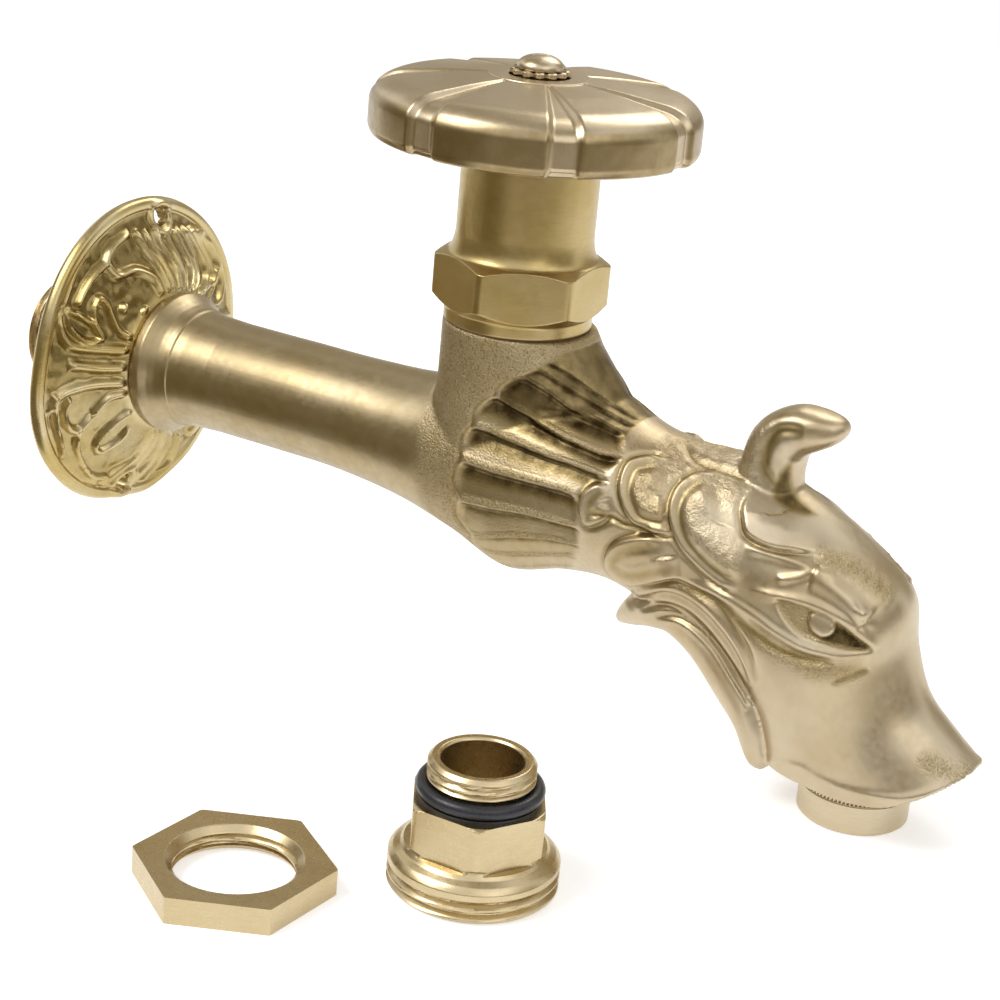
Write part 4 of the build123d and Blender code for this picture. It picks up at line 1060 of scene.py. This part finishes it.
def draw_rosette(points):
    """Height of the scrolls, ribs and beads at points of the rosette's face."""
    drawn = drawn_on(points, 0, ROSETTE_PLANE_X)[0][:, 1:]
    relief = Relief(drawn)
    for index, (line, width) in enumerate(ROSETTE_RIBS):
        share = FAN_SHARE if index in FAN_RIBS else RIB_SHARE
        relief.stroke(line, width * share, RIB_RISE, taper=0.08)
    for first, second in FINE_RIBS:
        relief.stroke(halfway(ROSETTE_RIBS[first][0], ROSETTE_RIBS[second][0]), 0.5, 0.85)
    for index in HIDDEN_RIBS:
        line, width = ROSETTE_RIBS[index]
        relief.stroke([(-a, -b) for a, b in line], width * RIB_SHARE, RIB_RISE, taper=0.08)
    for across, up, size in ROSETTE_BEADS:
        away = np.linalg.norm(drawn - (across, up), axis=1)
        relief.mark(slice(None), height=1.3 * np.clip(1 - (away / size) ** 2, 0, 1))
    return np.clip(relief.height, 0, 1.35)


def rosette():
    """Pressed rosette with scrolls and ribs, two screw holes and a turned back."""
    columns = 480
    face = smooth_line(ROSETTE_FACE, step=0.22)
    face = face[face[:, 0] <= ROSETTE_R]
    angle = np.arange(columns) * 2 * math.pi / columns
    cos, sin = np.cos(angle), np.sin(angle)
    radius = np.repeat(face[:, :1], columns, axis=1)
    out = np.repeat(face[:, 1:], columns, axis=1)
    slope = np.gradient(face, axis=0)
    slope = abs(slope / np.linalg.norm(slope, axis=1)[:, None])
    rim = rosette_rim(angle) / ROSETTE_R
    stretch = 1 + (rim - 1)[None] * ramp(radius, 22, 28)
    y, z = radius * stretch * cos, radius * stretch * sin
    points = np.stack([out, y, z], axis=-1).reshape(-1, 3)
    between = ramp(radius, 13.2, 14.6) * ramp(-radius, -27.6, -26.4)
    height = draw_rosette(points).reshape(radius.shape) * between
    turn = math.radians(90 + ROSETTE_TURN)
    holes = [side * SCREW_CIRCLE_R * np.array([math.cos(turn), math.sin(turn)])
             for side in (1, -1)]
    for hole in holes:
        away = np.hypot(y - hole[0], z - hole[1])
        height = height * ramp(away, 2.6, 3.6) + 0.7 * bell(away - SCREW_BOSS_R, 0.6)
    valley = np.clip(1 - height / 0.55, 0, 1) * between
    ground = lumps(points, 1.5, 23).reshape(radius.shape) * 0.22 * between
    push = height + ground * valley - 0.3 * valley
    radius_now = radius * stretch + push * slope[:, 1:] * 0.5
    front = np.stack([out + push * slope[:, :1], radius_now * cos, radius_now * sin], axis=-1)
    back = [np.stack([np.full(columns, height_b), radius_b * rim * cos, radius_b * rim * sin],
                     axis=-1) for radius_b, height_b in ROSETTE_BACK]
    rows = len(face) + len(back)
    piece = make_piece("rosette_relief", np.vstack([front.reshape(-1, 3), *back]),
                       grid_faces(rows, columns, True), GOLD, "body", 60.0)
    # Painted shade in the valleys between the ribs, stronger towards the top
    shade_strength = 0.25 + 0.4 * ramp(z, -10, 8)
    marks = np.append(valley * shade_strength, np.zeros(len(back) * columns))
    # The marks only fit a mesh in which no vertices were merged
    if len(piece.data.vertices) == len(marks):
        store(piece.data, "dirt", marks)
    drill = [(SCREW_HOLE_R * 0.02, -5.0), (SCREW_HOLE_R, -5.0), (SCREW_HOLE_R, 12.0),
             (SCREW_HOLE_R * 0.02, 12.0)]
    for hole in holes:
        piece = cut_away(piece, turned("drill", np.array(drill), columns=32,
                                       centre=(0.0, *hole), level=True))
    piece.data.shade_smooth()
    piece.data.set_sharp_from_angle(angle=math.radians(60))
    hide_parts("wall_rosette")


# Bonnet, nozzle and loose fittings

def bonnet():
    """Turned bonnet: collar, hexagon with chamfered ends, concave flare and barrel."""
    low, seat = BONNET_LOW[2], SEAM_HIGH[2]
    flats, turn = 26.6, 3.0 - 90
    corner = flats / math.sqrt(3)
    hex_top, barrel, skirt = 36.4, 11.75, 0.5
    cove_width, cove_height = flats / 2 - barrel, 4.4
    cove = [(flats / 2 - cove_width * math.sin(a), hex_top + cove_height * (1 - math.cos(a)))
            for a in np.linspace(0.1, 1.5, 9)]
    profile = [
        (8.2, low), (9.6, low), (10.4, low + 0.8), (10.4, seat), (12.35, seat),
        (12.35, seat - skirt), (12.75, seat - skirt), (12.75, seat + 1.7),
        (corner + 0.3, seat + 3.9), (corner + 0.3, hex_top - 1.3), *cove, (barrel, 56.5),
        (11.2, 57.0), (8.0, 57.0), (8.0, 50.0), (8.2, 30.0),
    ]
    rules = [hexagonal(flats, turn, seat + 1.2, hex_top + 0.02, 0.35)]
    piece = turned("bonnet_turned", eased(profile, 0.35, 0.22, closed=True), TURNED, "body",
                   216, rules, NECK, start=math.radians(turn), crease=50)
    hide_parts("bonnet")


def nozzle():
    """Smooth spigot with a knurled band under the lips and a threaded bore."""
    low, high = NOZZLE_LOW[2], NOZZLE_HIGH[2]
    radius, bore, passage = 9.3, 7.6, 5.0
    band, inner = low + 5.2, radius - 0.01
    profile = [
        (bore + 0.5, low), (radius - 0.5, low), (radius, low + 0.5), (radius, band),
        (radius - 0.15, band + 0.05), (inner, band + 0.3), (inner, high), (passage, high),
        (passage, low + 8.5), (bore, low + 8.5), (bore, low + 0.6),
    ]
    rules = [ribbed(inner, band + 0.3, band + 5.0, 84, 0.3),
             thread(bore, low + 0.6, low + 7.5, FINE_PITCH, 0.45, True)]
    centre = ((NOZZLE_LOW[0] + NOZZLE_HIGH[0]) / 2, 0, 0)
    piece = turned("nozzle_spigot", eased(profile, 0.2, 0.16, closed=True), SPIGOT, "body",
                   504, rules, centre)
    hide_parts("outlet_nozzle")


def lock_nut():
    """Thin nut with chamfered bore ends and an inner thread."""
    low, high = NUT_LOW[2], NUT_HIGH[2]
    flats, turn, bore, chamfer = 27.0, 27.2, 9.35, 1.1
    corner = flats / math.sqrt(3)
    profile = [(bore, low + chamfer), (bore + chamfer, low), (corner, low), (corner, high),
               (bore + chamfer, high), (bore, high - chamfer)]
    rules = [hexagonal(flats, turn, low - 1, high + 1, 0.05),
             thread(bore, low + 0.4, high - 0.4, WIDE_PITCH, 0.8, True)]
    centre = (*(NUT_LOW + NUT_HIGH)[:2] / 2, 0)
    piece = turned("lock_nut_threaded", eased(profile, 0.12, 0.2, closed=True), HONEY, "body",
                   192, rules, centre, start=math.radians(turn), crease=30)
    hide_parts("lock_nut")


def adapter():
    """Hose adapter: hose thread, scalloped flare, hexagon, ring seat and upper thread."""
    centre = (*(ADAPTER_LOW + ADAPTER_HIGH)[:2] / 2, ADAPTER_LOW[2])
    flats, turn, hex_top = 19.8, -58.0, 14.8
    hose, top, bore = 13.2, 8.3, 6.3
    profile = [
        (bore, 0.0), (hose - 0.7, 0.0), (hose, 0.7), (hose, 5.0), (hose - 0.4, 5.5), (12.4, 5.9),
        (11.4, 6.5), (10.6, 7.4), (11.6, 8.2), (11.6, hex_top - 0.6), (10.6, hex_top),
        (7.6, hex_top), (7.6, 17.6), (top, 18.0), (top, 20.5), (top - 0.7, 21.2),
        (bore + 0.4, 21.2), (bore, 20.8),
    ]
    rules = [
        thread(hose, 0.5, 4.2, WIDE_PITCH, 0.9), thread(top, 17.9, 20.9, FINE_PITCH, 0.55),
        hexagonal(flats, turn, 7.0, hex_top + 0.01, 0.1),
    ]
    piece = turned("adapter_threaded", eased(profile, 0.15, 0.14, closed=True), HONEY, "body",
                   192, rules, centre, start=math.radians(turn), crease=32)
    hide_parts("hose_adapter")
    section, middle, ring_height = 1.12, 8.72, hex_top + 0.5 + 1.15
    circle = np.arange(24) * 2 * math.pi / 24
    profile = np.stack([middle + section * np.cos(circle),
                        ring_height + section * np.sin(circle)], axis=-1)
    ring = turned("sealing_ring", profile, RUBBER, "body", 144, centre=centre, crease=180)
    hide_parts("adapter_oring")


# Handwheel group

WHEEL_R = 27.8
RIM_Z, SIDE_TOP_Z, SHOULDER_Z, TOP_Z = 55.4, 61.0, 65.2, 66.8
FLUTES, FLUTE_START, FLUTE_DEPTH = 7, -49.7, 0.95
DISC_R = 8.5


def handwheel():
    """Dished wheel with seven flutes that widen from the hub over the rim."""
    shoulder = [(21.4 + 6.4 * math.sin(a), SIDE_TOP_Z + 4.3 * math.cos(a))
                for a in np.linspace(0.15, 1.5, 12)]
    profile = [
        (5.1, TOP_Z), (DISC_R - 0.1, TOP_Z), (DISC_R, TOP_Z - 0.2), (12.0, TOP_Z - 0.42),
        (15.5, TOP_Z - 0.74), (19.0, TOP_Z - 1.15), *shoulder, (WHEEL_R, SIDE_TOP_Z - 0.8),
        (WHEEL_R, RIM_Z + 1.5), (WHEEL_R - 0.45, RIM_Z + 0.45), (WHEEL_R - 1.5, RIM_Z),
        (25.0, RIM_Z), (25.0, 60.4), (22.0, 62.4), (7.2, 63.0), (7.2, 60.0), (5.1, 60.0),
    ]
    profile = eased(profile, 0.35, 0.3, closed=True)
    run = np.roll(profile, -1, axis=0) - np.roll(profile, 1, axis=0)
    run /= np.linalg.norm(run, axis=1)[:, None]
    top = (profile[:, 1] > SHOULDER_Z - 1.5) & (profile[:, 0] > DISC_R)
    outer = top | (profile[:, 0] > 25.2)

    def fluted(radius, height, angle):
        near = (angle - math.radians(FLUTE_START)) % (2 * math.pi / FLUTES)
        near = np.minimum(near, 2 * math.pi / FLUTES - near)
        across = radius * np.sin(near)
        share = np.clip((radius - DISC_R) / (WHEEL_R - DISC_R), 0, 1)
        half = 0.25 + 2.3 * share
        depth = FLUTE_DEPTH * np.clip(0.3 + 0.9 * share, 0, 1)
        inside = ramp(half - across, -0.35 - 0.3 * share, 0.35 + 0.5 * share)
        move = outer[:, None] * inside * depth * ramp(height, RIM_Z - 0.1, RIM_Z + 0.2)
        return radius + run[:, 1:] * move, height - run[:, :1] * move

    columns = 616
    piece = turned("wheel_fluted", profile, WHEEL, "spindle_group", columns, [fluted], NECK,
                   crease=180)
    x, y, _ = (vectors(piece.data.vertices) / MM).T
    # Painted shade: the side of the rim darkened below the shoulder
    side = ramp(np.hypot(x - NECK_X, y), WHEEL_R - 1.0, WHEEL_R - 0.4)
    store(piece.data, "dirt", 0.4 * side)
    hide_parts("handwheel")


def screw_and_washer():
    """Domed screw head with a slot over a toothed washer."""
    teeth = 12
    base = TOP_Z + 1.0
    profile = [(2.2, TOP_Z), (4.9, TOP_Z), (5.0, TOP_Z + 0.2), (5.0, TOP_Z + 0.85), (4.7, base),
               (2.2, base)]

    def toothed(radius, height, angle):
        wave = 0.5 + 0.5 * np.cos(angle * teeth)
        return radius - (radius > 4.5) * (1 - wave**0.6) * 0.8, height

    washer = turned("washer_toothed", eased(profile, 0.1, 0.2, closed=True), WHEEL,
                    "spindle_group", 192, [toothed], NECK)
    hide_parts("serrated_washer")
    rise, head = 2.4, 3.9
    profile = [(0.0, base - 6.0), (2.0, base - 6.0), (2.0, base), (head - 0.1, base),
               (head, base + 0.15)]
    profile += [(head * math.sin(a), base + 0.35 + (rise - 0.35) * math.cos(a))
                for a in np.linspace(1.57, 0.0, 14)]

    def slotted(radius, height, angle):
        across = abs(radius * np.sin(angle - 0.6))
        along = abs(radius * np.cos(angle - 0.6))
        slot = ramp(-across, -0.55, -0.3) * ramp(-along, -1.6, -1.3) * (height > base + 1.0)
        return radius, height - slot * 0.6

    screw = turned("screw_domed", eased(profile, 0.05, 0.16), WHEEL, "spindle_group", 128,
                   [slotted], NECK, bored=False)
    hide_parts("handwheel_screw")


# Materials of the CAD nodes that stay
SOLID_LOOKS = {
    "bonnet_gasket": FIBRE, "packing_rings": FIBRE, "nozzle_gasket": FIBRE,
    "gland_ring": TURNED, "gland_nut": TURNED, "spindle": TURNED, "jumper_valve": TURNED,
    "washer_nut": TURNED, "seat_washer": RUBBER, "adapter_washer": RUBBER,
}


def dress_solids():
    """Puts their materials on the CAD nodes that stay."""
    for node, look in SOLID_LOOKS.items():
        mesh = frame["nodes"][node].data
        mesh.materials.clear()
        mesh.materials.append(look)


# Floor, light and camera

# Cards: name, middle, direction across, direction up, width and height, colour
CARDS = [
    ("card_mat", (290, -330, FLOOR_Z + 1), (0.87, 0.5, 0), (-0.5, 0.87, 0), (1100, 380),
     (0.45, 0.41, 0.33)),
    ("card_mat_left", (-85, -215, FLOOR_Z + 1.2), (1, 0, 0), (0, 1, 0), (290, 350),
     (0.22, 0.175, 0.085)),
    ("card_left_front", (-130, -400, 80), (0.86, -0.5, 0), (0, 0, 1), (520, 240),
     (0.24, 0.2, 0.11)),
    ("card_front", (380, -490, 60), (0.87, 0.5, 0), (0, 0, 1), (1300, 260), (0.31, 0.27, 0.2)),
    ("card_left", (-330, -160, 80), (0.3, -0.95, 0), (0, 0, 1), (420, 300), (0.26, 0.22, 0.14)),
    ("card_right", (560, 40, 90), (0.1, 1, 0), (0, 0, 1), (420, 320), (0.38, 0.34, 0.27)),
    ("card_over", (140, -60, 520), (1, 0, 0), (0, 1, 0), (420, 260), (0.45, 0.42, 0.36)),
    ("card_over_left", (-220, 60, 480), (1, 0, 0), (0, 1, 0), (460, 420), (0.42, 0.38, 0.29)),
    ("card_back", (-100, 560, 330), (1, 0, 0), (0, -0.3, 1), (1500, 640), (0.48, 0.44, 0.36)),
]
# Lamps: name, place, size and power
LAMPS = [("key", (-160, -360, 480), 300, 1.9), ("fill", (520, -200, 300), 420, 0.35),
         ("rim", (60, 380, 420), 260, 0.7)]
LAMP_TARGET = (90, 0, 0)
FLOOR_HALF_M = 3.0


def sheet(name, corners, build):
    """One flat face with its own material, given in metres."""
    mesh = bpy.data.meshes.new(name)
    mesh.from_pydata([tuple(corner) for corner in corners], [], [(0, 1, 2, 3)])
    mesh.materials.append(shader(name + "_look", build))
    return placed(name, mesh)


def stage_card(name, middle, across, up, size, shade):
    """Flat card of one brightness that only shows in reflections."""
    across, up = [Vector(way).normalized() * length / 2 * MM
                  for way, length in zip((across, up), size)]
    middle = Vector(middle) * MM

    def build(_, surface):
        fill(surface, Base_Color=(0, 0, 0, 1), Roughness=1.0, Specular_IOR_Level=0.0,
             Emission_Color=(*shade, 1), Emission_Strength=1.0)
    card = sheet(name, [middle - across - up, middle + across - up, middle + across + up,
                        middle - across + up], build)
    card.visible_camera = False
    card.visible_shadow = False
    card.visible_diffuse = False


def studio():
    """Pale floor, white surround, soft lamps and cards."""
    def build(add, surface):
        path = add("ShaderNodeLightPath").outputs
        seen = times(add, path["Is Camera Ray"], path["Is Glossy Ray"], "MAXIMUM")
        fill(surface, Base_Color=(0.92, 0.92, 0.92, 1), Roughness=0.9,
             Emission_Strength=times(add, seen, 0.45), Emission_Color=(1, 1, 1, 1))
    half, level = FLOOR_HALF_M, FLOOR_Z * MM
    floor = sheet("floor", [(-half, -half, level), (half, -half, level), (half, half, level),
                            (-half, half, level)], build)

    world = bpy.data.worlds.new("surround")
    bpy.context.scene.world = world
    world.use_nodes = True
    add = adder(world.node_tree)
    path = add("ShaderNodeLightPath").outputs
    seen = times(add, path["Is Camera Ray"], path["Is Glossy Ray"], "MAXIMUM")
    seen = times(add, seen, path["Is Transmission Ray"], "MAXIMUM")
    fill(world.node_tree.nodes["Background"], Color=(1, 1, 1, 1),
         Strength=span(add, seen, 0.0, 1.0, 0.55, 1.0))

    target = Vector(LAMP_TARGET) * MM
    for name, place, size, power in LAMPS:
        light = bpy.data.lights.new(name, "AREA")
        light.size, light.energy = size * MM, power
        spot = Vector(place) * MM
        turn = (target - spot).to_track_quat("-Z", "Y").to_matrix().to_4x4()
        placed(name, light).matrix_world = Matrix.Translation(spot) @ turn

    for card in CARDS:
        stage_card(*card)


def camera():
    """Camera at the photograph's place."""
    data = bpy.data.cameras.new("photo_camera")
    data.lens = CAMERA_LENS
    data.sensor_width = CAMERA_SENSOR
    data.clip_start = 0.01
    right = Vector(CAMERA_RIGHT).normalized()
    back = -Vector(CAMERA_VIEW).normalized()
    turn = Matrix((right, back.cross(right), back)).transposed()
    view = placed("photo_camera", data)
    view.matrix_world = Matrix.Translation(Vector(CAMERA_PLACE) * MM) @ turn.to_4x4()
    bpy.context.scene.camera = view


carve_casting()
inlet_stub()
collar()
rosette()
bonnet()
nozzle()
lock_nut()
adapter()
handwheel()
screw_and_washer()
dress_solids()
studio()
camera()
bpy.context.scene.view_settings.view_transform = "Standard"
